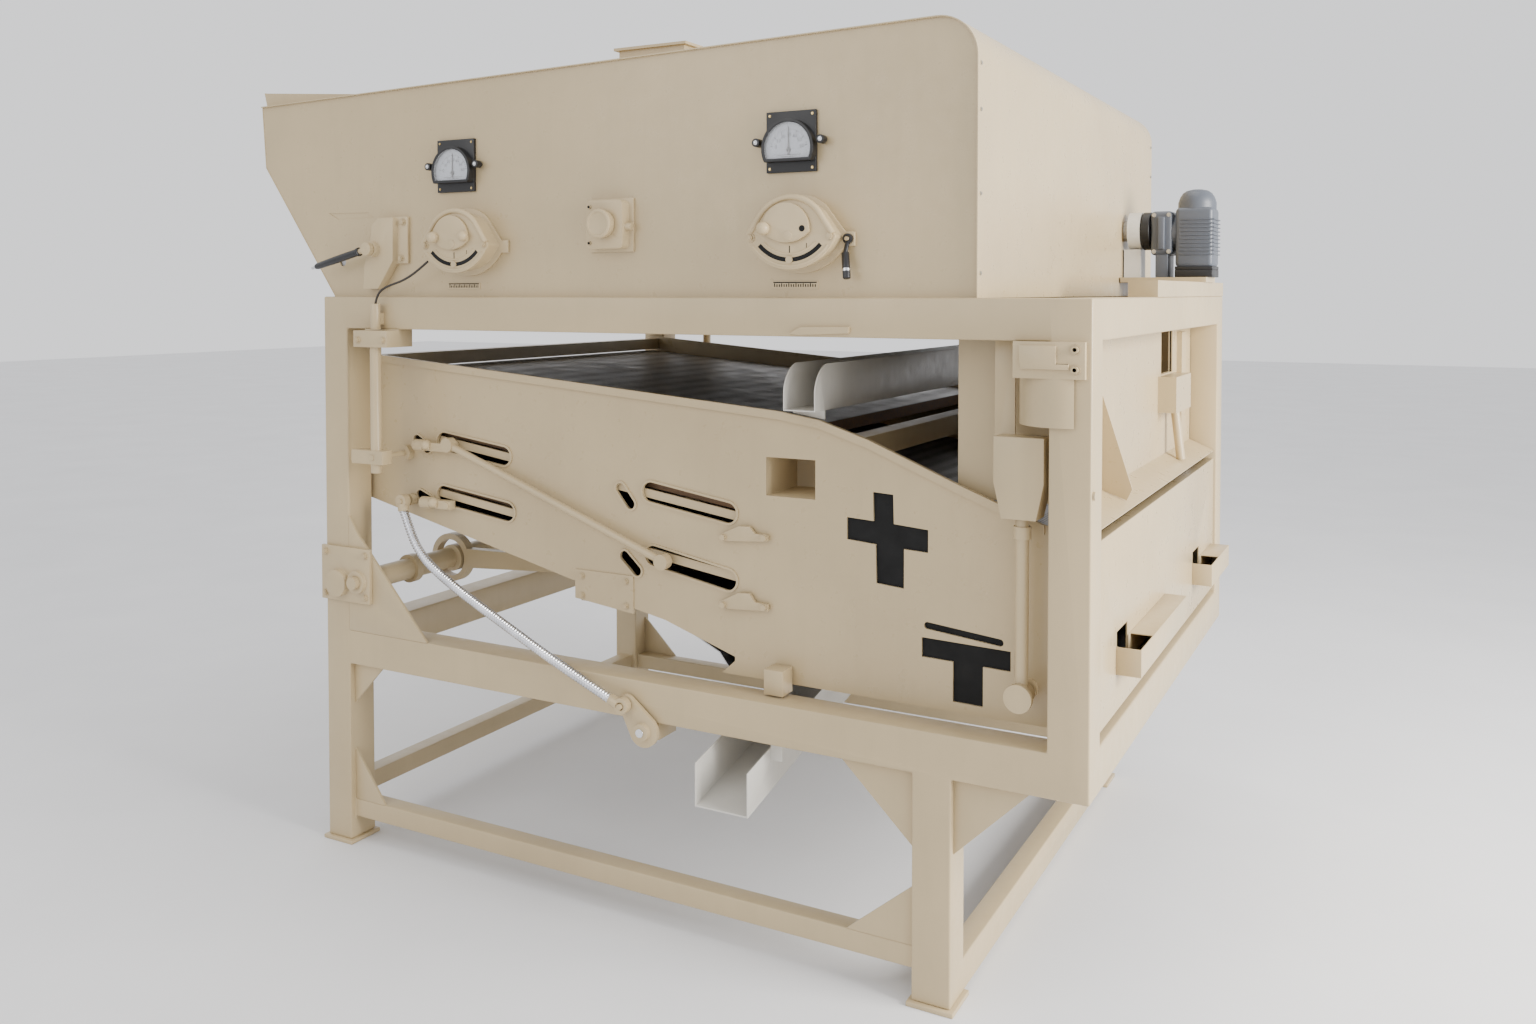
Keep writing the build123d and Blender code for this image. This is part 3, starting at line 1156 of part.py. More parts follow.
ARM_Y = (-20, -6)
ARM_SHAFT_R = 16.0
with BuildPart() as rocker_arm:
    with BuildSketch(Plane.XZ.offset(-(DATUM_Y + ARM_Y[1]))) as arm_shape:
        with Locations((DATUM_X + ARM_HUB[0], ARM_HUB[1])):
            Circle(45)
        with Locations((DATUM_X + ARM_PIN[0], ARM_PIN[1])):
            Circle(25)
        make_hull()
    extrude(arm_shape.sketch, amount=ARM_Y[1] - ARM_Y[0])
    disc("Y", ARM_HUB, (-34, 130), ARM_SHAFT_R)
    disc("Y", ARM_HUB, (-34, -18), 24)
    disc("Y", ARM_HUB, (108, 126), 26)
    disc("Y", ARM_PIN, (-54, -10), 8)
rocker_arm.part.label = "rocker_arm"
export_step(rocker_arm.part, "parts/rocker_arm.step")

with BuildPart() as frame_brackets:
    disc("Z", (250, -25), (1641, 1719), 15)
    block((240, 260), (-25, 0), (1655, 1690))
    for outer_y, under_y, slot_y in (
        ((-48, 0), (0, 60), (-42, -8)),
        ((DEPTH, DEPTH + 48), (DEPTH - 60, DEPTH), (DEPTH + 8, DEPTH + 42)),
    ):
        block((179, 318), outer_y, (1586, 1637))
        block((179, 318), under_y, (1586, 1641))
        block((222, 276), slot_y, (1580, 1632), Mode.SUBTRACT)
        disc("Y", LEFT_PIVOT, (slot_y[0] - 3, slot_y[1] + 3), PIN_R)
    for plate_y, house_y, slot_y in (
        ((77, 85), (15, 85), (28, 72)),
        ((DEPTH - 85, DEPTH - 77), (DEPTH - 85, DEPTH - 15), (DEPTH - 72, DEPTH - 28)),
    ):
        block((2186, 2236), plate_y, (1400, 1641))
        block((2203, 2324), house_y, (1306, 1414))
        plate_xz(((2203, 1306), (2324, 1306), (2306, 1220), (2222, 1220)), house_y)
        block((2236, 2292), slot_y, (1215, 1396), Mode.SUBTRACT)
        disc("Y", RIGHT_PIVOT, (slot_y[0] - 3, slot_y[1] + 3), PIN_R)
    for bracket_y, tray_y in (((-16, 0), (-24, -16)), ((DEPTH, DEPTH + 16), (DEPTH + 16, DEPTH + 24))):
        block((2258, 2426), bracket_y, (1556, 1641))
        block((2275, 2360), tray_y, (1590, 1632))
        block((2278, 2390), tray_y, (1578, 1590))
    block((1196, 1262), (8, 96), (528, MID_LOW))
    disc("Y", ARM_HUB, (0, 100), ARM_SHAFT_R + PIN_FIT, Mode.SUBTRACT)
frame_brackets.part.label = "frame_brackets"
export_step(frame_brackets.part, "parts/frame_brackets.step")

# ---------------------------------------------------------------- lower spout
SPOUT_X = (1431, 1590)
SPOUT_Y = (-80, 650)
SPOUT_RISE = math.tan(math.radians(12.4))


def spout_band(low, high, first=SPOUT_Y[0]):
    """A sloped outline of the spout between two heights over its floor line."""
    rise = (SPOUT_Y[1] - first) * SPOUT_RISE
    start = 410 + (first - SPOUT_Y[0]) * SPOUT_RISE
    return (
        (first, start + low), (SPOUT_Y[1], start + rise + low),
        (SPOUT_Y[1], start + rise + high), (first, start + high),
    )


with BuildPart() as lower_spout:
    plate_yz(spout_band(0, 4), SPOUT_X)
    plate_yz(spout_band(0, 115), (SPOUT_X[0], SPOUT_X[0] + 4))
    plate_yz(spout_band(0, 115), (SPOUT_X[1] - 4, SPOUT_X[1]))
    block((SPOUT_X[1], SPOUT_X[1] + 34), (44, 52), (520, MID_LOW))
lower_spout.part.label = "lower_spout"
export_step(lower_spout.part, "parts/lower_spout.step")

# ---------------------------------------------------------------- fasteners

with BuildPart() as frame_bolts:
    for bolt_x, bolt_z in ((10, 798), (10, 930), (182, 798), (182, 930)):
        for bolt_y in mirrored((-18, -12)):
            disc("Y", (bolt_x, bolt_z), bolt_y, 9)
    for bolt_x, bolt_z in ((196, 1608), (302, 1608)):
        for bolt_y in ((-56, -48), (DEPTH + 48, DEPTH + 56)):
            disc("Y", (bolt_x, bolt_z), bolt_y, 8)
    for bolt_x, bolt_z in ((2404, 1624), (2404, 1578)):
        for bolt_y in ((-25, -16), (DEPTH + 16, DEPTH + 25)):
            disc("Y", (bolt_x, bolt_z), bolt_y, 8)
    disc("X", (14, 1290), (LENGTH, LENGTH + 6), 10)
    for quadrant in QUADRANTS:
        for ear in (-112, 112):
            disc("Y", (quadrant[0] + ear, quadrant[1] - 2), (-48, -43), 8)
        disc("Y", (quadrant[0], quadrant[1] - 59), (-48, -43), 9)
    disc("Y", LOCK, (-2, 16), 5)
    for screw_x, screw_z in ((1053, 1990), (1053, 1890)):
        disc("Y", (screw_x, screw_z), (-19, -15), 5)
    for screw_x, screw_z in ((328, 1970), (320, 1858)):
        disc("Y", (screw_x, screw_z), (9, 15), 8)
frame_bolts.part.label = "frame_bolts"
export_step(frame_bolts.part, "parts/frame_bolts.step")

with BuildPart() as shoe_bolts:
    for pin_y in mirrored((-46, 108)):
        disc("Y", LEFT_PIN, pin_y, LEFT_PIN_R)
    for pin_y in mirrored((34, SIDE_FRONT)):
        disc("Y", RIGHT_PIN, pin_y, RIGHT_PIN_R)
    disc("Y", LINK_PIN, (44, SIDE_FRONT), 8)
    for washer_y in mirrored((90, SIDE_FRONT)):
        disc("Y", LEFT_PIN, washer_y, 24)
        disc("Y", RIGHT_PIN, washer_y, 24)
    disc("Y", LINK_PIN, (84, 104), 18)
    for bolt_x, bolt_z in ((1415, 1086), (1542, 1096), (1415, 900), (1542, 908)):
        for bolt_y in mirrored((88, 96)):
            disc("Y", (bolt_x, bolt_z), bolt_y, 8)
    for bolt_x, bolt_z in ((930, 925), (1085, 925), (930, 868), (1085, 855)):
        for bolt_y in mirrored((102, 108)):
            disc("Y", (bolt_x, bolt_z), bolt_y, 7)
shoe_bolts.part.label = "shoe_bolts"
export_step(shoe_bolts.part, "parts/shoe_bolts.step")
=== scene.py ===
"""Looks of the air-screen seed cleaner: enamelled frame and head, castings, gauges, cords and fittings."""

import json
import math

import bmesh
import bpy
from mathutils import Matrix, Vector


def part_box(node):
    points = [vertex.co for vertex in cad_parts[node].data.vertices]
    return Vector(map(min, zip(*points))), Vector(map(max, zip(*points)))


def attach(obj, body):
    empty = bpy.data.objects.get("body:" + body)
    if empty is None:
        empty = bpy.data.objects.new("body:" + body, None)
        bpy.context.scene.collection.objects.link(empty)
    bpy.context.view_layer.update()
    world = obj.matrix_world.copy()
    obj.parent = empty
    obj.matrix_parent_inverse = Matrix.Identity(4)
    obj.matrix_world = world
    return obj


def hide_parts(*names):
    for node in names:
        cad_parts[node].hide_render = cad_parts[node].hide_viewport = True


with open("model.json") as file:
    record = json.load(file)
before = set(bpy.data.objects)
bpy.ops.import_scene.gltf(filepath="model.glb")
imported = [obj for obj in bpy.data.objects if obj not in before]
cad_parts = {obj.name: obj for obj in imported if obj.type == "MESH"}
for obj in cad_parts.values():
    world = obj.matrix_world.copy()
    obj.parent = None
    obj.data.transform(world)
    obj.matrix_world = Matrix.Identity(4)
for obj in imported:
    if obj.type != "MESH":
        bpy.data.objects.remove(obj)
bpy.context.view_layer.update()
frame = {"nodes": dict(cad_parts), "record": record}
NODES = frame["nodes"]
BODY_OF = {node: body for body, nodes in frame["record"]["behaviour"]["bodies"].items() for node in nodes}
SLOT_OF = {part["node"]: part["material_slot"] for part in frame["record"]["subparts"]}

# Places are in millimetres from the datum corner: the outer corner of the front-left post at the floor,
# with x along the machine, y to the rear and z up.
MM = 0.001
POST_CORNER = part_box("frame_posts")[0]
DATUM = Vector((POST_CORNER.x, POST_CORNER.y, 0.0))
LENGTH = 2439.0
DEPTH = 1922.0
TUBE = 100.0
FOOT = 12.0
MID_LOW = 577.0
MID_TOP = 685.0
FRAME_TOP = 1741.0
STAND_LENGTH = 2106.0
STAND_DEPTH = 1696.0
GAUGES = ((540.0, 2131.0), (1664.0, 2139.0))
QUADRANTS = ((585.0, 1895.0), (1690.0, 1895.0))
KNOB = (1101.0, 1942.0)
ROCKER = (1228.0, 555.0)


def at(x, y, z):
    """A place from the datum corner, in metres."""
    return DATUM + Vector((x, y, z)) * MM


# ---------------------------------------------------------------- camera, light, floor
camera_data = bpy.data.cameras.new("camera")
camera_data.lens = 29.20
camera_data.sensor_width = 36.0
camera_data.shift_y = -0.1195
camera = bpy.data.objects.new("camera", camera_data)
camera.location = (2.036573, -3.805587, 1.753596)
camera.rotation_euler = (math.radians(88.348), 0.0, math.radians(28.259))
bpy.context.scene.collection.objects.link(camera)
bpy.context.scene.camera = camera

world = bpy.data.worlds.new("studio")
bpy.context.scene.world = world
world.use_nodes = True
world.node_tree.nodes["Background"].inputs["Color"].default_value = (0.95, 0.955, 0.975, 1.0)
world.node_tree.nodes["Background"].inputs["Strength"].default_value = 1.28


def soft_light(name, place, target, size, watts, colour=(1.0, 0.98, 0.95)):
    """A large square lamp that faces a point."""
    data = bpy.data.lights.new(name, "AREA")
    data.shape = "SQUARE"
    data.size = size
    data.energy = watts
    data.color = colour
    lamp = bpy.data.objects.new(name, data)
    lamp.location = place
    lamp.rotation_euler = (Vector(target) - Vector(place)).to_track_quat("-Z", "Y").to_euler()
    bpy.context.scene.collection.objects.link(lamp)


soft_light("key", (5.6, -0.7, 2.6), (1.2, 0.2, 1.2), 2.6, 620)
soft_light("front", (-1.5, -5.0, 3.4), (0.0, 0.0, 1.0), 3.0, 55)
soft_light("overhead", (0.2, 0.4, 5.4), (0.0, 0.0, 1.0), 3.0, 60)


# ---------------------------------------------------------------- materials
def shader(name):
    """A new material with its node tree, its main shader and its object coordinates."""
    material = bpy.data.materials.new(name)
    material.use_nodes = True
    tree = material.node_tree
    surface = tree.nodes["Principled BSDF"]
    coordinates = tree.nodes.new("ShaderNodeTexCoord").outputs["Object"]
    return material, tree, surface, coordinates


def noise(tree, coordinates, scale, detail=4.0, roughness=0.55):
    """Even noise at a scale in cycles to the metre."""
    node = tree.nodes.new("ShaderNodeTexNoise")
    node.inputs["Scale"].default_value = scale
    node.inputs["Detail"].default_value = detail
    node.inputs["Roughness"].default_value = roughness
    tree.links.new(coordinates, node.inputs["Vector"])
    return node.outputs["Fac"]


def stretched(tree, coordinates, stretch):
    """Coordinates stretched along the axes."""
    node = tree.nodes.new("ShaderNodeMapping")
    node.inputs["Scale"].default_value = stretch
    tree.links.new(coordinates, node.inputs["Vector"])
    return node.outputs["Vector"]


def ramp(tree, value, stops):
    """Colours along a value."""
    node = tree.nodes.new("ShaderNodeValToRGB")
    elements = node.color_ramp.elements
    while len(elements) < len(stops):
        elements.new(0.5)
    for element, (position, colour) in zip(elements, stops):
        element.position = position
        element.color = (*colour, 1.0)
    tree.links.new(value, node.inputs["Fac"])
    return node.outputs["Color"]


def spread(tree, value, low, high, from_low=0.3, from_high=0.7):
    """A value brought from one range to another."""
    node = tree.nodes.new("ShaderNodeMapRange")
    node.inputs["From Min"].default_value = from_low
    node.inputs["From Max"].default_value = from_high
    node.inputs["To Min"].default_value = low
    node.inputs["To Max"].default_value = high
    tree.links.new(value, node.inputs["Value"])
    return node.outputs["Result"]


def blended(tree, factor, first, second):
    """Two colours mixed by a factor."""
    node = tree.nodes.new("ShaderNodeMix")
    node.data_type = "RGBA"
    tree.links.new(factor, node.inputs["Factor"])
    for colour, socket in ((first, node.inputs["A"]), (second, node.inputs["B"])):
        if isinstance(colour, tuple):
            socket.default_value = (*colour, 1.0)
        else:
            tree.links.new(colour, socket)
    return node.outputs["Result"]


def bumped(tree, surface, layers):
    """Bump layers, one on the other: (height, strength, depth in metres)."""
    normal = None
    for height, strength, depth in layers:
        node = tree.nodes.new("ShaderNodeBump")
        node.inputs["Strength"].default_value = strength
        node.inputs["Distance"].default_value = depth
        tree.links.new(height, node.inputs["Height"])
        if normal:
            tree.links.new(normal, node.inputs["Normal"])
        normal = node.outputs["Normal"]
    tree.links.new(normal, surface.inputs["Normal"])


def darker(colour, factor):
    """The same colour, darker or lighter."""
    return tuple(min(1.0, channel * factor) for channel in colour)


def enamel(name, colour, gloss, grime=0.16, peel=0.25, dent=0.0):
    """Sprayed enamel: uneven film, dust in patches, orange peel, and the waviness of thin sheet."""
    material, tree, surface, coordinates = shader(name)
    broad = noise(tree, coordinates, 2.6, 5.0)
    fine = noise(tree, coordinates, 24.0, 5.0, 0.6)
    runs = noise(tree, stretched(tree, coordinates, (9.0, 9.0, 0.9)), 3.0, 5.0)
    film = ramp(tree, broad, ((0.30, darker(colour, 0.93)), (0.70, darker(colour, 1.05))))
    dusty = blended(tree, spread(tree, runs, 0.0, grime, 0.5, 0.85), film, darker(colour, 0.72))
    flecked = blended(tree, spread(tree, fine, 0.0, 0.10, 0.6, 0.85), dusty, darker(colour, 0.75))
    tree.links.new(flecked, surface.inputs["Base Color"])
    tree.links.new(spread(tree, fine, gloss - 0.05, gloss + 0.1), surface.inputs["Roughness"])
    surface.inputs["Coat Weight"].default_value = 0.10
    surface.inputs["Coat Roughness"].default_value = 0.22
    layers = [(noise(tree, coordinates, 420.0, 2.0), peel, 0.0003)]
    if dent:
        layers.append((noise(tree, coordinates, 2.2, 2.0), dent, 0.012))
    bumped(tree, surface, layers)
    return material


def bare_steel(name, colour, rough, spangle=0.0):
    """Bare or plated steel with fine scratches, and zinc spangle where it is galvanised."""
    material, tree, surface, coordinates = shader(name)
    scratches = noise(tree, stretched(tree, coordinates, (14.0, 180.0, 180.0)), 4.0, 5.0)
    tarnish = noise(tree, coordinates, 9.0, 5.0)
    tone = ramp(tree, tarnish, ((0.3, darker(colour, 0.72)), (0.7, darker(colour, 1.08))))
    if spangle:
        cells = tree.nodes.new("ShaderNodeTexVoronoi")
        cells.inputs["Scale"].default_value = 60.0
        tree.links.new(coordinates, cells.inputs["Vector"])
        crystals = spread(tree, cells.outputs["Color"], 0.0, spangle, 0.2, 0.9)
        tone = blended(tree, crystals, tone, darker(colour, 0.6))
    tree.links.new(tone, surface.inputs["Base Color"])
    surface.inputs["Metallic"].default_value = 1.0
    tree.links.new(spread(tree, scratches, rough - 0.08, rough + 0.12), surface.inputs["Roughness"])
    bumped(tree, surface, [(scratches, 0.2, 0.0002)])
    return material


def moulded(name, colour, rough, grain=300.0, dust=0.012):
    """Moulded plastic or rubber with a fine grain and a dusty bloom."""
    material, tree, surface, coordinates = shader(name)
    bloom = noise(tree, coordinates, 14.0, 6.0)
    tone = ramp(tree, bloom, ((0.35, colour), (0.75, tuple(channel + dust for channel in colour))))
    tree.links.new(tone, surface.inputs["Base Color"])
    tree.links.new(spread(tree, bloom, rough - 0.06, rough + 0.1), surface.inputs["Roughness"])
    bumped(tree, surface, [(noise(tree, coordinates, grain, 2.0), 0.3, 0.0003)])
    return material


def timber(name, light, dark):
    """Oiled hardwood with its grain along the machine."""
    material, tree, surface, coordinates = shader(name)
    grain = noise(tree, stretched(tree, coordinates, (1.2, 30.0, 30.0)), 3.0, 8.0, 0.6)
    tree.links.new(ramp(tree, grain, ((0.3, dark), (0.65, light))), surface.inputs["Base Color"])
    tree.links.new(spread(tree, grain, 0.45, 0.7), surface.inputs["Roughness"])
    bumped(tree, surface, [(grain, 0.4, 0.0008)])
    return material


def punched_sheet(name, colour, pitch):
    """Screen sheet with a grid of round holes drawn as dark pits: painted shade, for the unlit inside seen
    through the holes.
    """
    material, tree, surface, coordinates = shader(name)
    cells = tree.nodes.new("ShaderNodeTexVoronoi")
    cells.inputs["Scale"].default_value = 1.0 / pitch
    cells.inputs["Randomness"].default_value = 0.0
    tree.links.new(coordinates, cells.inputs["Vector"])
    # The near-black colour in the holes is painted shade.
    holes = ramp(tree, cells.outputs["Distance"], ((0.30, darker(colour, 0.08)), (0.36, colour)))
    tree.links.new(holes, surface.inputs["Base Color"])
    surface.inputs["Metallic"].default_value = 0.8
    tree.links.new(spread(tree, noise(tree, coordinates, 12.0), 0.35, 0.6), surface.inputs["Roughness"])
    bumped(tree, surface, [(cells.outputs["Distance"], 0.5, 0.001)])
    return material


BEIGE = (0.475, 0.372, 0.215)
PAINT = enamel("satin_beige_enamel", BEIGE, 0.36)
SHEET_PAINT = enamel("satin_beige_sheet", BEIGE, 0.30, dent=0.10)
CAST_PAINT = enamel("beige_casting_enamel", darker(BEIGE, 1.06), 0.40, peel=0.6)
# Near-white enamel for the white_paint parts: partly their own pale paint, partly a painted highlight on what
# is cream paint.
WHITE_AND_HIGHLIGHT_PAINT = enamel("white_enamel_and_painted_highlight", (0.62, 0.60, 0.55), 0.30)
GREY_PAINT = enamel("grey_motor_enamel", (0.078, 0.088, 0.108), 0.42, peel=0.5)
# Lighter than the chute's grey paint: painted light, standing in for the light that falls on the chute. Its
# streaks are wear.
CHUTE_PAINT = enamel("worn_grey_enamel_painted_light", (0.56, 0.54, 0.49), 0.38, grime=0.3)
GALVANISED = bare_steel("galvanised_sheet", (0.50, 0.50, 0.51), 0.42, 0.4)
PLATED = bare_steel("plated_fastener", (0.62, 0.60, 0.55), 0.34)
BRASS = bare_steel("brass_screw", (0.62, 0.47, 0.22), 0.30)
BRIGHT = bare_steel("bright_steel", (0.72, 0.73, 0.75), 0.20)
ARMOUR = bare_steel("hose_armour", (0.74, 0.75, 0.79), 0.27)
PULLEY_IRON = bare_steel("turned_cast_iron", (0.16, 0.16, 0.17), 0.5)
BLACK_PLASTIC = moulded("black_bezel_plastic", (0.006, 0.006, 0.007), 0.4, dust=0.004)
BLACK_GRIP = moulded("black_grip_plastic", (0.010, 0.010, 0.012), 0.36)
RUBBER = moulded("black_sheet_rubber", (0.002, 0.002, 0.002), 0.9, dust=0.002)
SHEATH = moulded("cable_sheath", (0.022, 0.016, 0.011), 0.45)
BELT = moulded("drive_belt_rubber", (0.02, 0.02, 0.02), 0.7)
BRISTLE = moulded("brush_bristle", (0.05, 0.045, 0.04), 0.8, 900.0)
DIAL = moulded("printed_dial_face", (0.40, 0.42, 0.47), 0.45)
INK = moulded("dial_ink", (0.006, 0.006, 0.007), 0.7, dust=0.002)
NEEDLE = moulded("needle_lacquer", (0.02, 0.015, 0.015), 0.4)
HARDWOOD = timber("oiled_screen_frame", (0.20, 0.11, 0.05), (0.09, 0.045, 0.02))
PUNCHED = punched_sheet("punched_screen_sheet", (0.45, 0.45, 0.46), 0.008)
DARK_HOLE = moulded("unlit_hollow", (0.003, 0.003, 0.003), 0.9, dust=0.001)

LENS, lens_tree, lens_surface, lens_coordinates = shader("clear_lens")
lens_smears = noise(lens_tree, lens_coordinates, 60.0, 5.0)
lens_tree.links.new(spread(lens_tree, lens_smears, 0.02, 0.12), lens_surface.inputs["Roughness"])
lens_surface.inputs["Base Color"].default_value = (0.95, 0.96, 0.97, 1.0)
lens_surface.inputs["Alpha"].default_value = 0.12
lens_surface.inputs["Specular IOR Level"].default_value = 0.7

SLOT_FINISH = {
    "satin_beige_paint": PAINT,
    "white_paint": WHITE_AND_HIGHLIGHT_PAINT,
    "grey_paint": GREY_PAINT,
    "grey_steel_paint": CHUTE_PAINT,
    "sheet_steel": GALVANISED,
    "cast_pulley": PULLEY_IRON,
    "black_plastic": BLACK_PLASTIC,
    "black_grip": BLACK_GRIP,
    "dial_face": DIAL,
    "needle_paint": NEEDLE,
    "clear_lens": LENS,
    "cable_sheath": SHEATH,
    "belt_rubber": BELT,
    "black_rubber": RUBBER,
    "hose_armour": ARMOUR,
    "screen_wood": HARDWOOD,
    "brush_bristle": BRISTLE,
}
NODE_FINISH = {
    "head_panels": SHEET_PAINT,
    "head_roof": SHEET_PAINT,
    "hopper_wall": SHEET_PAINT,
    "shoe_sides": SHEET_PAINT,
    "shoe_end_panel": SHEET_PAINT,
    "end_shield": SHEET_PAINT,
    "damper_quadrants": CAST_PAINT,
    "control_boxes": CAST_PAINT,
    "speed_knob": CAST_PAINT,
    "damper_left": CAST_PAINT,
    "damper_right": CAST_PAINT,
    "screens": PUNCHED,
}


def finish_of(node):
    """The material of a CAD node."""
    return NODE_FINISH.get(node, SLOT_FINISH[SLOT_OF[node]])


for node, holder in NODES.items():
    holder.data.materials.clear()
    holder.data.materials.append(finish_of(node))

floor_mesh = bpy.data.meshes.new("floor")
floor_mesh.from_pydata([(-30, -30, 0), (30, -30, 0), (30, 30, 0), (-30, 30, 0)], [], [(0, 1, 2, 3)])
floor = bpy.data.objects.new("floor", floor_mesh)
bpy.context.scene.collection.objects.link(floor)
FLOOR_PAINT, floor_tree, floor_surface, floor_coordinates = shader("pale_floor")
floor_patches = noise(floor_tree, floor_coordinates, 1.5)
floor_tone = ramp(floor_tree, floor_patches, ((0.3, (0.74, 0.74, 0.75)), (0.7, (0.78, 0.78, 0.79))))
floor_tree.links.new(floor_tone, floor_surface.inputs["Base Color"])
floor_surface.inputs["Roughness"].default_value = 0.9
floor_mesh.materials.append(FLOOR_PAINT)


# ---------------------------------------------------------------- making pieces
def add_box(bm, x, y, z):
    """A block from its three ranges."""
    corners = [bm.verts.new(at(px, py, pz)) for pz in z for py in y for px in x]
    for face in ((0, 2, 3, 1), (4, 5, 7, 6), (0, 1, 5, 4), (2, 6, 7, 3), (0, 4, 6, 2), (1, 3, 7, 5)):
        bm.faces.new([corners[number] for number in face])


def add_turned(bm, start, direction, profile, segments=32):
    """A turned solid: profile is (distance along, radius) from end to end, and its ends are closed."""
    axis = Vector(direction).normalized()
    side = axis.orthogonal().normalized()
    other = axis.cross(side)
    base = at(*start)
    rings = []
    for along, radius in profile:
        ring = []
        for step in range(segments):
            turn = 2 * math.pi * step / segments
            spoke = side * math.cos(turn) + other * math.sin(turn)
            ring.append(bm.verts.new(base + (axis * along + spoke * radius) * MM))
        rings.append(ring)
    for first, second in zip(rings, rings[1:]):
        for step in range(segments):
            after = (step + 1) % segments
            bm.faces.new((first[step], first[after], second[after], second[step]))
    bm.faces.new(list(reversed(rings[0])))
    bm.faces.new(rings[-1])


def add_disc(bm, axis, centre, span, radius, segments=32):
    """A cylinder along an axis: its centre on the other two axes and its two ends."""
    number = "XYZ".index(axis)
    start = list(centre)
    start.insert(number, span[0])
    direction = [0.0, 0.0, 0.0]
    direction[number] = 1.0
    add_turned(bm, start, direction, ((0, radius), (span[1] - span[0], radius)), segments)


def add_ball(bm, centre, radius, segments=24):
    """A ball as a turned solid."""
    profile = []
    for step in range(1, segments // 2):
        turn = math.pi * step / (segments // 2)
        profile.append((-radius * math.cos(turn), radius * math.sin(turn)))
    add_turned(bm, centre, (0, 0, 1), profile, segments)


def add_plate(bm, points, y):
    """A plate facing front, from its outline's (x, z) points and its depth range."""
    near = [bm.verts.new(at(px, y[0], pz)) for px, pz in points]
    far = [bm.verts.new(at(px, y[1], pz)) for px, pz in points]
    bm.faces.new(near)
    bm.faces.new(list(reversed(far)))
    for number in range(len(points)):
        after = (number + 1) % len(points)
        bm.faces.new((near[after], near[number], far[number], far[after]))


def arc(centre, radius, start, end, steps):
    """Points on an arc, in degrees from the x axis."""
    points = []
    for step in range(steps + 1):
        turn = math.radians(start + (end - start) * step / steps)
        points.append((centre[0] + radius * math.cos(turn), centre[1] + radius * math.sin(turn)))
    return points


def smoothed(mesh, degrees=32.0):
    """Smooth shading that keeps edges sharper than an angle."""
    mesh.shade_smooth()
    mesh.set_sharp_from_angle(angle=math.radians(degrees))


def applied(holder):
    """The piece's modifiers made part of its mesh."""
    graph = bpy.context.evaluated_depsgraph_get()
    result = bpy.data.meshes.new_from_object(holder.evaluated_get(graph))
    holder.modifiers.clear()
    holder.data = result
    return holder


def rounded(holder, width, segments=3, degrees=35.0):
    """Edges rounded to a width in millimetres."""
    bevel = holder.modifiers.new("rounded_edges", "BEVEL")
    bevel.width = width * MM
    bevel.segments = segments
    bevel.limit_method = "ANGLE"
    bevel.angle_limit = math.radians(degrees)
    return applied(holder)


def piece(name, bm, material, body, edge=0.0, segments=3):
    """A finished piece that rides on a body."""
    bmesh.ops.recalc_face_normals(bm, faces=bm.faces)
    mesh = bpy.data.meshes.new(name)
    bm.to_mesh(mesh)
    bm.free()
    mesh.materials.append(material)
    holder = bpy.data.objects.new(name, mesh)
    bpy.context.scene.collection.objects.link(holder)
    if edge:
        rounded(holder, edge, segments)
    smoothed(holder.data)
    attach(holder, body)
    return holder


def dressed(node, edge, segments=2):
    """A copy of a CAD node with joined faces and rounded edges, which stands for it."""
    bm = bmesh.new()
    bm.from_mesh(NODES[node].data)
    bmesh.ops.remove_doubles(bm, verts=bm.verts, dist=0.00002)
    bmesh.ops.dissolve_limit(bm, angle_limit=math.radians(1.0), verts=bm.verts, edges=bm.edges)
    mesh = bpy.data.meshes.new(node + "_dressed")
    bm.to_mesh(mesh)
    bm.free()
    mesh.materials.clear()
    mesh.materials.append(finish_of(node))
    holder = bpy.data.objects.new(node + "_dressed", mesh)
    bpy.context.scene.collection.objects.link(holder)
    rounded(holder, edge, segments)
    smoothed(holder.data)
    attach(holder, BODY_OF[node])
    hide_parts(node)
    return holder


# ---------------------------------------------------------------- cords
def cord_line(route):
    """The smooth line of a cord, as points read from its route's curve."""
    curve = bpy.data.curves.new("cord_route", "CURVE")
    curve.dimensions = "3D"
    curve.resolution_u = 24
    spline = curve.splines.new("NURBS")
    spline.points.add(len(route) - 1)
    for point, place in zip(spline.points, route):
        point.co = (*at(*place), 1.0)
    spline.order_u = 3
    spline.use_endpoint_u = True
    holder = bpy.data.objects.new("cord_route", curve)
    bpy.context.scene.collection.objects.link(holder)
    graph = bpy.context.evaluated_depsgraph_get()
    mesh = bpy.data.meshes.new_from_object(holder.evaluated_get(graph))
    points = [vertex.co.copy() for vertex in mesh.vertices]
    bpy.data.objects.remove(holder)
    return points


def evenly(points, spacing):
    """The same line with points a set distance apart."""
    result = [points[0].copy()]
    owed = spacing
    for first, second in zip(points, points[1:]):
        run = (second - first).length
        while run >= owed:
            first = first.lerp(second, owed / run)
            result.append(first.copy())
            run = (second - first).length
            owed = spacing
        owed -= run
    result.append(points[-1].copy())
    return result


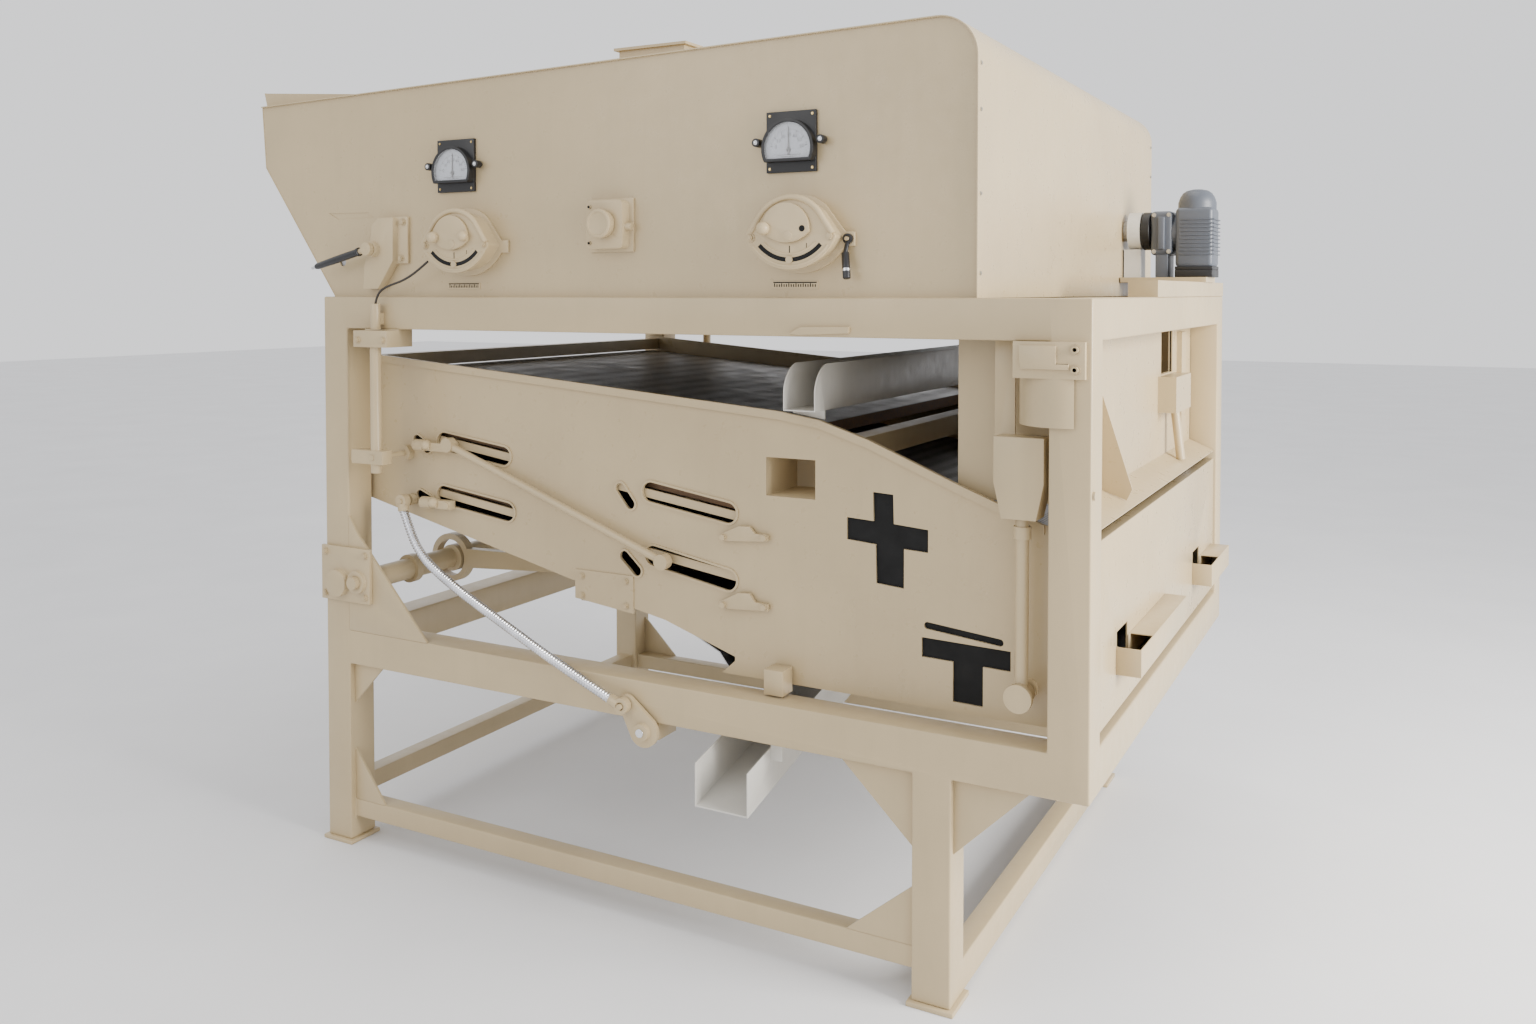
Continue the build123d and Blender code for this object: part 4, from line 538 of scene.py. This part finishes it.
def tube_along(bm, points, radius_at, segments):
    """A closed tube that follows points, with a radius for each of them."""
    tangents = []
    for number in range(len(points)):
        before = points[max(0, number - 1)]
        after = points[min(len(points) - 1, number + 1)]
        tangents.append((after - before).normalized())
    side = tangents[0].orthogonal().normalized()
    rings = []
    for number, (place, tangent) in enumerate(zip(points, tangents)):
        side = (side - tangent * side.dot(tangent)).normalized()
        other = tangent.cross(side)
        ring = []
        for step in range(segments):
            turn = 2 * math.pi * step / segments
            spoke = side * math.cos(turn) + other * math.sin(turn)
            ring.append(bm.verts.new(place + spoke * radius_at(number)))
        rings.append(ring)
    for first, second in zip(rings, rings[1:]):
        for step in range(segments):
            after = (step + 1) % segments
            bm.faces.new((first[step], first[after], second[after], second[step]))
    bm.faces.new(list(reversed(rings[0])))
    bm.faces.new(rings[-1])


HOSE_D = 26.0
HOSE_ROUTE = (
    (276, 60, 1070),
    (309, 52, 1014),
    (346, 44, 963),
    (406, 36, 914),
    (539, 22, 852),
    (708, 4, 788),
    (945, -24, 700),
    (1132, -36, 635),
)
CABLE_D = 7.0
CABLE_ROUTE = (
    (470, -30, 1846),
    (436, -32, 1822),
    (400, -30, 1803),
    (362, -28, 1788),
    (322, -27, 1778),
    (284, -26, 1766),
    (258, -25, 1747),
    (250, -25, 1719),
)
RIB_PITCH = 9.6
RIB_STEPS = 4

hose_line = cord_line(HOSE_ROUTE)
rib_line = evenly(hose_line, RIB_PITCH / RIB_STEPS * MM)
RIB_DROP = (-0.8, -0.8, 1.9, 1.9)
bm = bmesh.new()
tube_along(bm, rib_line, lambda number: (HOSE_D / 2 - RIB_DROP[number % RIB_STEPS]) * MM, 28)
armoured_hose = piece("armoured_hose", bm, ARMOUR, "hose_link")
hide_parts("hose")

cable_line = cord_line(CABLE_ROUTE)
bm = bmesh.new()
tube_along(bm, evenly(cable_line, 4.0 * MM), lambda number: CABLE_D / 2 * MM, 16)
control_wire = piece("control_wire", bm, SHEATH, "machine")
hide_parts("control_cable")


# ---------------------------------------------------------------- frame
def welded(name, spans, material, body, edge):
    """Square tubes joined into one flush frame, with rounded corners."""
    first = bmesh.new()
    add_box(first, *spans[0])
    mesh = bpy.data.meshes.new(name)
    first.to_mesh(mesh)
    first.free()
    holder = bpy.data.objects.new(name, mesh)
    bpy.context.scene.collection.objects.link(holder)
    others = []
    for span in spans[1:]:
        other_bm = bmesh.new()
        add_box(other_bm, *span)
        other_mesh = bpy.data.meshes.new(name + "_tube")
        other_bm.to_mesh(other_mesh)
        other_bm.free()
        other = bpy.data.objects.new(name + "_tube", other_mesh)
        bpy.context.scene.collection.objects.link(other)
        join = holder.modifiers.new("join", "BOOLEAN")
        join.operation = "UNION"
        join.solver = "EXACT"
        join.object = other
        others.append(other)
    applied(holder)
    for other in others:
        bpy.data.objects.remove(other)
    bm = bmesh.new()
    bm.from_mesh(holder.data)
    bmesh.ops.remove_doubles(bm, verts=bm.verts, dist=0.00002)
    bmesh.ops.dissolve_limit(bm, angle_limit=math.radians(1.0), verts=bm.verts, edges=bm.edges)
    bpy.data.objects.remove(holder)
    return piece(name, bm, material, body, edge, 3)


LEFT_X = (0, TUBE)
RIGHT_X = (LENGTH - TUBE, LENGTH)
FRONT_Y = (0, TUBE)
REAR_Y = (DEPTH - TUBE, DEPTH)
LEG_X = (STAND_LENGTH - TUBE, STAND_LENGTH)
LEG_Y = (STAND_DEPTH - TUBE, STAND_DEPTH)
SIDE_X = (TUBE / 2, LENGTH - TUBE / 2)
SIDE_Y = (TUBE / 2, DEPTH - TUBE / 2)
TOP_Z = (FRAME_TOP - TUBE, FRAME_TOP)
MID_Z = (MID_LOW, MID_TOP)
STAND_EDGE = 20.0
STAND_TUBE = 60.0
tubes = []
for post_x, post_y, post_low in (
    (LEFT_X, FRONT_Y, FOOT),
    (RIGHT_X, FRONT_Y, MID_LOW),
    (LEFT_X, REAR_Y, MID_LOW),
    (RIGHT_X, REAR_Y, MID_LOW),
):
    tubes.append((post_x, post_y, (post_low, FRAME_TOP)))
for leg_x, leg_y in ((LEG_X, FRONT_Y), (LEFT_X, LEG_Y), (LEG_X, LEG_Y)):
    tubes.append((leg_x, leg_y, (FOOT, MID_LOW + TUBE / 2)))
for rail_z in (TOP_Z, MID_Z):
    for rail_y in (FRONT_Y, REAR_Y):
        tubes.append((SIDE_X, rail_y, rail_z))
    for rail_x in (LEFT_X, RIGHT_X):
        tubes.append((rail_x, SIDE_Y, rail_z))
tubes.append((SIDE_X, LEG_Y, MID_Z))
stand_x = (TUBE / 2, STAND_LENGTH - TUBE / 2)
stand_y = (TUBE / 2, STAND_DEPTH - TUBE / 2)
tubes.append((stand_x, (STAND_EDGE, STAND_EDGE + STAND_TUBE), (80, 138)))
tubes.append((stand_x, (LEG_Y[0] + STAND_EDGE, LEG_Y[1] - STAND_EDGE), (132, 190)))
tubes.append(((STAND_EDGE, STAND_EDGE + STAND_TUBE), stand_y, (132, 190)))
tubes.append(((STAND_LENGTH - STAND_TUBE, STAND_LENGTH), stand_y, (FOOT, 95)))
welded_frame = welded("welded_frame", tubes, PAINT, "machine", 5.0)
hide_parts("frame_posts", "frame_rails")

for node, edge in (
    ("foot_plates", 2.0),
    ("gussets", 1.0),
    ("frame_brackets", 2.0),
    ("damper_quadrants", 2.2),
    ("control_boxes", 2.5),
    ("shoe_end_panel", 1.5),
    ("outlet_troughs", 0.8),
    ("scalping_chute", 0.8),
    ("lower_spout", 1.0),
    ("shoe_fittings", 1.0),
    ("left_hangers", 1.5),
    ("right_hangers", 1.5),
    ("rocker_arm", 1.5),
    ("hose_ends", 1.2),
    ("shaft_bearings", 2.0),
):
    dressed(node, edge)


# ---------------------------------------------------------------- fasteners
def bolt_tree():
    """Hexagon heads on washers, one on each point, turned a different way."""
    tree = bpy.data.node_groups.new("hexagon_bolts", "GeometryNodeTree")
    face = tree.interface
    face.new_socket("Places", in_out="INPUT", socket_type="NodeSocketGeometry")
    face.new_socket("Head radius", in_out="INPUT", socket_type="NodeSocketFloat")
    face.new_socket("Head height", in_out="INPUT", socket_type="NodeSocketFloat")
    face.new_socket("Sides", in_out="INPUT", socket_type="NodeSocketInt")
    face.new_socket("Facing", in_out="INPUT", socket_type="NodeSocketVector")
    face.new_socket("Finish", in_out="INPUT", socket_type="NodeSocketMaterial")
    face.new_socket("Bolts", in_out="OUTPUT", socket_type="NodeSocketGeometry")
    given = tree.nodes.new("NodeGroupInput")
    result = tree.nodes.new("NodeGroupOutput")

    def times(socket, factor):
        node = tree.nodes.new("ShaderNodeMath")
        node.operation = "MULTIPLY"
        tree.links.new(socket, node.inputs[0])
        node.inputs[1].default_value = factor
        return node.outputs[0]

    def drum(sides, radius, height, rise):
        cylinder = tree.nodes.new("GeometryNodeMeshCylinder")
        if isinstance(sides, int):
            cylinder.inputs["Vertices"].default_value = sides
        else:
            tree.links.new(sides, cylinder.inputs["Vertices"])
        tree.links.new(radius, cylinder.inputs["Radius"])
        tree.links.new(height, cylinder.inputs["Depth"])
        place = tree.nodes.new("ShaderNodeCombineXYZ")
        tree.links.new(rise, place.inputs["Z"])
        moved = tree.nodes.new("GeometryNodeTransform")
        tree.links.new(cylinder.outputs["Mesh"], moved.inputs["Geometry"])
        tree.links.new(place.outputs[0], moved.inputs["Translation"])
        return moved.outputs["Geometry"]

    radius = given.outputs["Head radius"]
    height = given.outputs["Head height"]
    join = tree.nodes.new("GeometryNodeJoinGeometry")
    for part in (
        drum(24, times(radius, 1.45), times(height, 0.3), times(height, 0.15)),
        drum(given.outputs["Sides"], radius, height, times(height, 0.75)),
        drum(16, times(radius, 0.55), times(height, 0.4), times(height, 1.3)),
    ):
        tree.links.new(part, join.inputs["Geometry"])
    spin = tree.nodes.new("FunctionNodeRandomValue")
    spin.data_type = "FLOAT"
    spin.inputs["Min"].default_value = 0.0
    spin.inputs["Max"].default_value = math.pi
    spin.inputs["Seed"].default_value = 7
    own_turn = tree.nodes.new("ShaderNodeCombineXYZ")
    tree.links.new(spin.outputs["Value"], own_turn.inputs["Z"])
    facing = tree.nodes.new("FunctionNodeRotateEuler")
    facing.rotation_type = "EULER"
    facing.space = "LOCAL"
    tree.links.new(given.outputs["Facing"], facing.inputs["Rotation"])
    tree.links.new(own_turn.outputs[0], facing.inputs["Rotate By"])
    to_points = tree.nodes.new("GeometryNodeMeshToPoints")
    tree.links.new(given.outputs["Places"], to_points.inputs["Mesh"])
    spread_out = tree.nodes.new("GeometryNodeInstanceOnPoints")
    tree.links.new(to_points.outputs["Points"], spread_out.inputs["Points"])
    tree.links.new(join.outputs["Geometry"], spread_out.inputs["Instance"])
    tree.links.new(facing.outputs["Rotation"], spread_out.inputs["Rotation"])
    real = tree.nodes.new("GeometryNodeRealizeInstances")
    tree.links.new(spread_out.outputs["Instances"], real.inputs["Geometry"])
    coat = tree.nodes.new("GeometryNodeSetMaterial")
    tree.links.new(real.outputs["Geometry"], coat.inputs["Geometry"])
    tree.links.new(given.outputs["Finish"], coat.inputs["Material"])
    tree.links.new(coat.outputs["Geometry"], result.inputs["Bolts"])
    return tree


BOLT_TREE = bolt_tree()
FRONT = (math.radians(90), 0.0, 0.0)
REAR = (math.radians(-90), 0.0, 0.0)
RIGHT = (0.0, math.radians(90), 0.0)
UP = (0.0, 0.0, 0.0)


def bolts(name, places, facing, radius, height, finish, body, sides=6):
    """Bolt heads at places, all facing one way, as one plain mesh."""
    mesh = bpy.data.meshes.new(name)
    mesh.from_pydata([at(*place) for place in places], [], [])
    holder = bpy.data.objects.new(name, mesh)
    bpy.context.scene.collection.objects.link(holder)
    nodes = holder.modifiers.new("bolts", "NODES")
    nodes.node_group = BOLT_TREE
    values = {
        "Head radius": radius * MM,
        "Head height": height * MM,
        "Sides": sides,
        "Facing": facing,
        "Finish": finish,
    }
    for item in BOLT_TREE.interface.items_tree:
        if item.in_out == "INPUT" and item.name in values:
            nodes[item.identifier] = values[item.name]
    applied(holder)
    smoothed(holder.data)
    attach(holder, body)
    return holder


BEARING_BOLTS = ((10, 798), (10, 930), (182, 798), (182, 930))
MOUNT_BOLTS = ((196, 1608), (302, 1608))
TRAY_BOLTS = ((2404, 1624), (2404, 1578))
GUIDE_BOLTS = ((1415, 1086), (1542, 1096), (1415, 900), (1542, 908))
COVER_BOLTS = ((930, 925), (1085, 925), (930, 868), (1085, 855))
front_places = [(px, -12, pz) for px, pz in BEARING_BOLTS]
front_places += [(px, -48, pz) for px, pz in MOUNT_BOLTS]
front_places += [(px, -16, pz) for px, pz in TRAY_BOLTS]
front_places += [(x0 + ear, -43, z0 - 2) for x0, z0 in QUADRANTS for ear in (-112, 112)]
front_places += [(328, 15, 1970), (320, 15, 1858)]
bolts("front_frame_bolts", front_places, FRONT, 8.5, 6.0, PAINT, "machine")
rear_places = [(px, DEPTH + 12, pz) for px, pz in BEARING_BOLTS]
rear_places += [(px, DEPTH + 48, pz) for px, pz in MOUNT_BOLTS]
bolts("rear_frame_bolts", rear_places, REAR, 8.5, 6.0, PAINT, "machine")
shoe_places = [(px, 96, pz) for px, pz in GUIDE_BOLTS] + [(px, 107, pz) for px, pz in COVER_BOLTS]
bolts("front_shoe_bolts", shoe_places, FRONT, 7.0, 5.0, PAINT, "shoe")
rear_shoe_places = [(px, DEPTH - py, pz) for px, py, pz in shoe_places]
bolts("rear_shoe_bolts", rear_shoe_places, REAR, 7.0, 5.0, PAINT, "shoe")
END_SCREWS = [(2161, py, pz) for py in (38, 2020) for pz in (1800, 1990, 2190, 2300)]
bolts("head_end_screws", END_SCREWS, RIGHT, 4.0, 2.5, PLATED, "machine", 16)
MOTOR_FEET = [(2352, 1545, 1830), (2352, 1655, 1830), (2450, 1545, 1830), (2450, 1655, 1830)]
bolts("motor_foot_bolts", MOTOR_FEET, UP, 6.0, 5.0, PLATED, "machine")
GEAR_SCREWS = [(px, 1540, pz) for px in (2270, 2319) for pz in (1893, 2017)]
bolts("gearbox_screws", GEAR_SCREWS, FRONT, 5.0, 4.0, PLATED, "machine")
GAUGE_CORNERS = [(side * 61, high * 68) for side in (-1, 1) for high in (-1, 1)]
GAUGE_SCREWS = [(gx + px, 15, gz + pz) for gx, gz in GAUGES for px, pz in GAUGE_CORNERS]
bolts("gauge_corner_screws", GAUGE_SCREWS, FRONT, 2.4, 1.2, BRASS, "machine", 20)
KNOB_SCREWS = [(1053, -15, 1990), (1053, -15, 1890)]
bolts("knob_box_screws", KNOB_SCREWS, FRONT, 3.6, 4.5, DARK_HOLE, "machine", 16)

# ---------------------------------------------------------------- gauges
NEEDLE_DROP = 22.0
DIAL_FACE_Y = (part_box("gauge_dials")[0].y - DATUM.y) / MM
TICK_INNER = 47.0
TICK_OUTER = 54.0
NUMBER_RADIUS = 38.0
DIAL_START = 168.0
DIAL_SWEEP = 156.0
TICKS = 25
MAJOR_EVERY = 4
NUMBERS = 7
NUMBER_SIZE = 14.0
DIAL_BARS = ((34.0, 13.0), (22.0, 17.5))
KNOB_TIP = ((0, 6.5), (2.5, 6.2), (4.5, 4.4), (5.4, 1.6))


def lettered(text, centre, size, depth_y):
    """A short number as a flat mesh that faces front."""
    curve = bpy.data.curves.new("number", "FONT")
    curve.body = text
    curve.size = size * MM
    curve.align_x = "CENTER"
    curve.align_y = "CENTER"
    curve.extrude = 0.00012
    curve.resolution_u = 2
    holder = bpy.data.objects.new("number", curve)
    bpy.context.scene.collection.objects.link(holder)
    graph = bpy.context.evaluated_depsgraph_get()
    mesh = bpy.data.meshes.new_from_object(holder.evaluated_get(graph))
    bpy.data.objects.remove(holder)
    place = at(centre[0], depth_y, centre[1])
    mesh.transform(Matrix.Translation(place) @ Matrix.Rotation(math.radians(90), 4, "X"))
    return mesh


bm = bmesh.new()
for gauge_x, gauge_z in GAUGES:
    pivot = (gauge_x, gauge_z - NEEDLE_DROP)
    for tick in range(TICKS):
        turn = math.radians(DIAL_START - DIAL_SWEEP * tick / (TICKS - 1))
        major = tick % MAJOR_EVERY == 0
        inner = TICK_INNER if major else TICK_INNER + 3.5
        half = 1.1 if major else 0.6
        along = Vector((math.cos(turn), math.sin(turn)))
        across = Vector((-along.y, along.x)) * half
        middle = Vector(pivot)
        corners = [
            middle + along * inner - across,
            middle + along * TICK_OUTER - across,
            middle + along * TICK_OUTER + across,
            middle + along * inner + across,
        ]
        add_plate(bm, [tuple(corner) for corner in corners], (DIAL_FACE_Y - 0.25, DIAL_FACE_Y))
    for half, drop in DIAL_BARS:
        bar_z = pivot[1] - drop
        add_box(bm, (gauge_x - half, gauge_x + half), (DIAL_FACE_Y - 0.2, DIAL_FACE_Y), (bar_z, bar_z + 1.2))
    for number in range(NUMBERS):
        turn = math.radians(DIAL_START - DIAL_SWEEP * number / (NUMBERS - 1))
        place = (pivot[0] + NUMBER_RADIUS * math.cos(turn), pivot[1] + NUMBER_RADIUS * math.sin(turn))
        figure = lettered(str(number * 10), place, NUMBER_SIZE, DIAL_FACE_Y - 0.15)
        bm.from_mesh(figure)
        bpy.data.meshes.remove(figure)
piece("dial_print", bm, INK, "machine")

# Bright steel tips on the dark gauge knobs: a painted highlight that stands for the knobs' glint.
bm = bmesh.new()
for gauge_x, gauge_z in GAUGES:
    for side in (-92, 92):
        add_turned(bm, (gauge_x + side, -5, gauge_z), (0, -1, 0), KNOB_TIP, 20)
piece("gauge_knob_glint_tips", bm, BRIGHT, "machine")
dressed("gauge_cases", 2.0, 3)

# ---------------------------------------------------------------- damper castings
RIM_R = 8.0
RIM_Y = -42.0
CAST_FACE_Y = -43.0
ARC_RISE = 59.0
SLOT_R = 118.0
SLOT_HALF = 5.5
SLOT_TURNS = (223, 317)
for label, body, (x0, z0) in (("left", "damper_left", QUADRANTS[0]), ("right", "damper_right", QUADRANTS[1])):
    crown = [(x0 + px, z0 + pz) for px, pz in arc((0, -6), 104, 140, 40, 18)]
    bail = [(x0 - 119, z0 + 4)] + crown + [(x0 + 119, z0 + 4)]
    bm = bmesh.new()
    bail_points = evenly([at(px, RIM_Y, pz) for px, pz in bail], 4.0 * MM)
    tube_along(bm, bail_points, lambda number: RIM_R * MM, 14)
    lower = [at(x0 + px, RIM_Y + 1, z0 + ARC_RISE + pz) for px, pz in arc((0, 0), 104, 226, 314, 30)]
    tube_along(bm, lower, lambda number: 4.0 * MM, 10)
    outer = [at(x0 + px, RIM_Y + 1, z0 + ARC_RISE + pz) for px, pz in arc((0, 0), 134, 218, 322, 36)]
    tube_along(bm, outer, lambda number: 4.4 * MM, 10)
    piece("casting_rim_" + label, bm, CAST_PAINT, "machine")
    bm = bmesh.new()
    add_box(bm, (x0 - 1.2, x0 + 1.2), (CAST_FACE_Y - 0.5, CAST_FACE_Y + 0.2), (z0 - 44, z0 - 24))
    add_box(bm, (x0 + 47, x0 + 48.5), (CAST_FACE_Y - 0.5, CAST_FACE_Y + 0.2), (z0 - 34, z0 - 18))
    piece("casting_scribe_" + label, bm, DARK_HOLE, "machine")
    # A near-black sheet inside the arc slot: painted shade in the slot.
    bm = bmesh.new()
    slot_outer = arc((x0, z0 + ARC_RISE), SLOT_R + SLOT_HALF, *SLOT_TURNS, 40)
    slot_inner = arc((x0, z0 + ARC_RISE), SLOT_R - SLOT_HALF, *SLOT_TURNS, 40)
    for outer_pair, inner_pair in zip(zip(slot_outer, slot_outer[1:]), zip(slot_inner, slot_inner[1:])):
        corners = [outer_pair[0], outer_pair[1], inner_pair[1], inner_pair[0]]
        add_plate(bm, corners, (CAST_FACE_Y - 0.7, CAST_FACE_Y + 0.4))
    piece("casting_slot_painted_shade_" + label, bm, DARK_HOLE, "machine")
BALL = (QUADRANTS[0][0] + 50, QUADRANTS[0][1] + 22)
bm = bmesh.new()
add_ball(bm, (BALL[0], -62, BALL[1]), 15)
add_disc(bm, "Y", BALL, (-58, -50), 7)
piece("left_cover_ball", bm, CAST_PAINT, "damper_left")
# A near-black disc in the right cover's hole: painted shade.
bm = bmesh.new()
add_disc(bm, "Y", (QUADRANTS[1][0] + 40, QUADRANTS[1][1] + 18), (-54.6, -50), 8)
piece("right_cover_hole_shade", bm, DARK_HOLE, "damper_right")
dressed("damper_left", 2.5, 3)
dressed("damper_right", 2.5, 3)

# ---------------------------------------------------------------- levers and knob
LEVER_START = Vector((196, -34, 1879.9))
LEVER_END = Vector((6, -34, 1834.9))
bm = bmesh.new()
reach = LEVER_END - LEVER_START
grip_length = reach.length
grip_profile = (
    (0, 11), (1.5, 13.5), (9, 13.5), (12, 11.4),
    (grip_length * 0.5, 11.8), (grip_length - 8, 10.2), (grip_length, 8),
)
add_turned(bm, LEVER_START, reach, grip_profile, 28)
feed_grip = piece("feed_grip", bm, BLACK_GRIP, "feed_lever")
bm = bmesh.new()
add_turned(bm, LEVER_END, reach, ((-2, 6.5), (3, 6.5), (8, 5), (19, 4.4), (21, 2.5)), 20)
piece("feed_grip_tip", bm, BRIGHT, "feed_lever")
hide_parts("feed_lever_grip")
dressed("feed_lever", 1.2)

LOCK_TOP = Vector((1822, 4, 1852))
LOCK_TIP = Vector((1834, -12, 1788))
bm = bmesh.new()
lock_reach = LOCK_TIP - LOCK_TOP
add_turned(bm, LOCK_TOP + lock_reach * 0.62, lock_reach, ((0, 10.6), (7, 10.6)), 24)
piece("lock_lever_band", bm, BRIGHT, "lock_lever")
dressed("lock_lever", 1.0)

bm = bmesh.new()
add_turned(
    bm,
    (KNOB[0], -16.2, KNOB[1]),
    (0, -1, 0),
    ((0, 36), (3, 38), (20, 40.5), (26, 40.5), (29.5, 37), (29.8, 33), (27, 30), (26, 24), (26, 1)),
    48,
)
turned_knob = piece("turned_knob", bm, CAST_PAINT, "speed_knob")
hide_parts("speed_knob")

# ---------------------------------------------------------------- conveyor motor
MOTOR_X = 2401.0
MOTOR_Y = 1600.0
MOTOR_HALF = 61.0
MOTOR_DEEP = 66.0
FINS = 10
FIN_PITCH = 13.0
FIN_THICK = 4.0
FIN_START = 1880.0
bm = bmesh.new()
motor_x = (MOTOR_X - MOTOR_HALF, MOTOR_X + MOTOR_HALF)
motor_y = (MOTOR_Y - MOTOR_DEEP, MOTOR_Y + MOTOR_DEEP)
add_box(bm, motor_x, motor_y, (1830, 1842))
add_box(bm, (2340, 2462), (1532, 1668), (1805, 1830))
piece("motor_foot", bm, BLACK_PLASTIC, "machine", 2.0)
bm = bmesh.new()
add_box(bm, motor_x, motor_y, (1838, 2040))
motor_body = piece("motor_body", bm, GREY_PAINT, "machine", 15.0, 5)
bm = bmesh.new()
for fin in range(FINS):
    fin_z = FIN_START + FIN_PITCH * fin
    add_box(bm, (MOTOR_X - 44, MOTOR_X + 65.5), (MOTOR_Y - 70, MOTOR_Y + 70), (fin_z, fin_z + FIN_THICK))
piece("motor_fins", bm, GREY_PAINT, "machine", 1.4, 2)
bm = bmesh.new()
add_turned(
    bm,
    (MOTOR_X, MOTOR_Y, 2018),
    (0, 0, 1),
    ((0, 60), (2, 62), (40, 62), (58, 56), (72, 47), (80, 36), (84.5, 18), (85, 4)),
    48,
)
piece("motor_cowl", bm, GREY_PAINT, "machine")
bm = bmesh.new()
add_box(bm, (2258, 2331), (1540, 1660), (1880, 2030))
piece("gearbox_case", bm, GREY_PAINT, "machine", 14.0, 5)
bm = bmesh.new()
add_disc(bm, "X", (MOTOR_Y, 1955), (2326, 2350), 58, 40)
add_box(bm, (2274, 2316), (1545, 1655), (1805, 1884))
add_box(bm, (2284, 2306), (1528, 1545), (1900, 2010))
piece("gearbox_flange", bm, GREY_PAINT, "machine", 3.0, 3)
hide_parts("gearmotor")

# ---------------------------------------------------------------- small fittings at the front
bm = bmesh.new()
add_disc(bm, "Y", ROCKER, (-39, -33), 12, 32)
piece("rocker_pin_end", bm, BRIGHT, "rocker_arm", 1.2)
SCALE_PLATES = ((500, 625), (1605, 1738))
SCALE_MARKS = 18
MARK_Y = (22.4, 23.1)
bm = bmesh.new()
for low, high in SCALE_PLATES:
    add_box(bm, (low + 4, high - 4), MARK_Y, (1778, 1781))
    for mark in range(SCALE_MARKS):
        mark_x = low + 8 + (high - low - 16) * mark / (SCALE_MARKS - 1)
        add_box(bm, (mark_x - 1.3, mark_x + 1.3), MARK_Y, (1768, 1775 if mark % 3 else 1777))
piece("scale_plate_marks", bm, DARK_HOLE, "machine")

# The ribbed sleeve on the rocker's shaft: a rib and a groove in each pitch
SLEEVE_RIBS = 8
SLEEVE_PITCH = 13
SLEEVE_RIB_R = 30
SLEEVE_GROOVE_R = 26.5
SLEEVE_BORE_R = 22.0
sleeve_profile = [(0, SLEEVE_BORE_R)]
for rib in range(SLEEVE_RIBS):
    rib_start = SLEEVE_PITCH * rib
    sleeve_profile += [(rib_start, SLEEVE_RIB_R), (rib_start + 7, SLEEVE_RIB_R)]
    sleeve_profile += [(rib_start + 8, SLEEVE_GROOVE_R), (rib_start + 12, SLEEVE_GROOVE_R)]
sleeve_end = SLEEVE_PITCH * SLEEVE_RIBS
sleeve_profile += [(sleeve_end, SLEEVE_GROOVE_R), (sleeve_end, SLEEVE_BORE_R)]
bm = bmesh.new()
add_turned(bm, (ROCKER[0], -4, ROCKER[1]), (0, 1, 0), sleeve_profile, 36)
piece("rocker_shaft_sleeve", bm, CAST_PAINT, "rocker_arm")
# A near-black bar in the hanger plate's slot: painted shade.
bm = bmesh.new()
add_box(bm, (2278, 2388), (-16.7, -16.0), (1583, 1591))
piece("hanger_plate_slot_shade", bm, DARK_HOLE, "machine")

# Rod-end fittings that carry the brush linkage on the side of the shoe: height, and both ends along x
ROD_ENDS = ((1276, 302, 424), (1098, 330, 430))
bm = bmesh.new()
for rise, first, last in ROD_ENDS:
    add_disc(bm, "X", (86, rise), (first, first + 40), 18)
    add_disc(bm, "X", (86, rise - 2), (first + 40, first + 66), 14)
    add_box(bm, (first + 60, last + 16), (80, 108), (rise - 16, rise + 10))
    add_ball(bm, (first + 52, 78, rise + 3), 16)
    add_disc(bm, "Y", (last + 4, rise - 3), (74, 108), 11)
piece("rod_end_fittings", bm, CAST_PAINT, "shoe", 1.5)
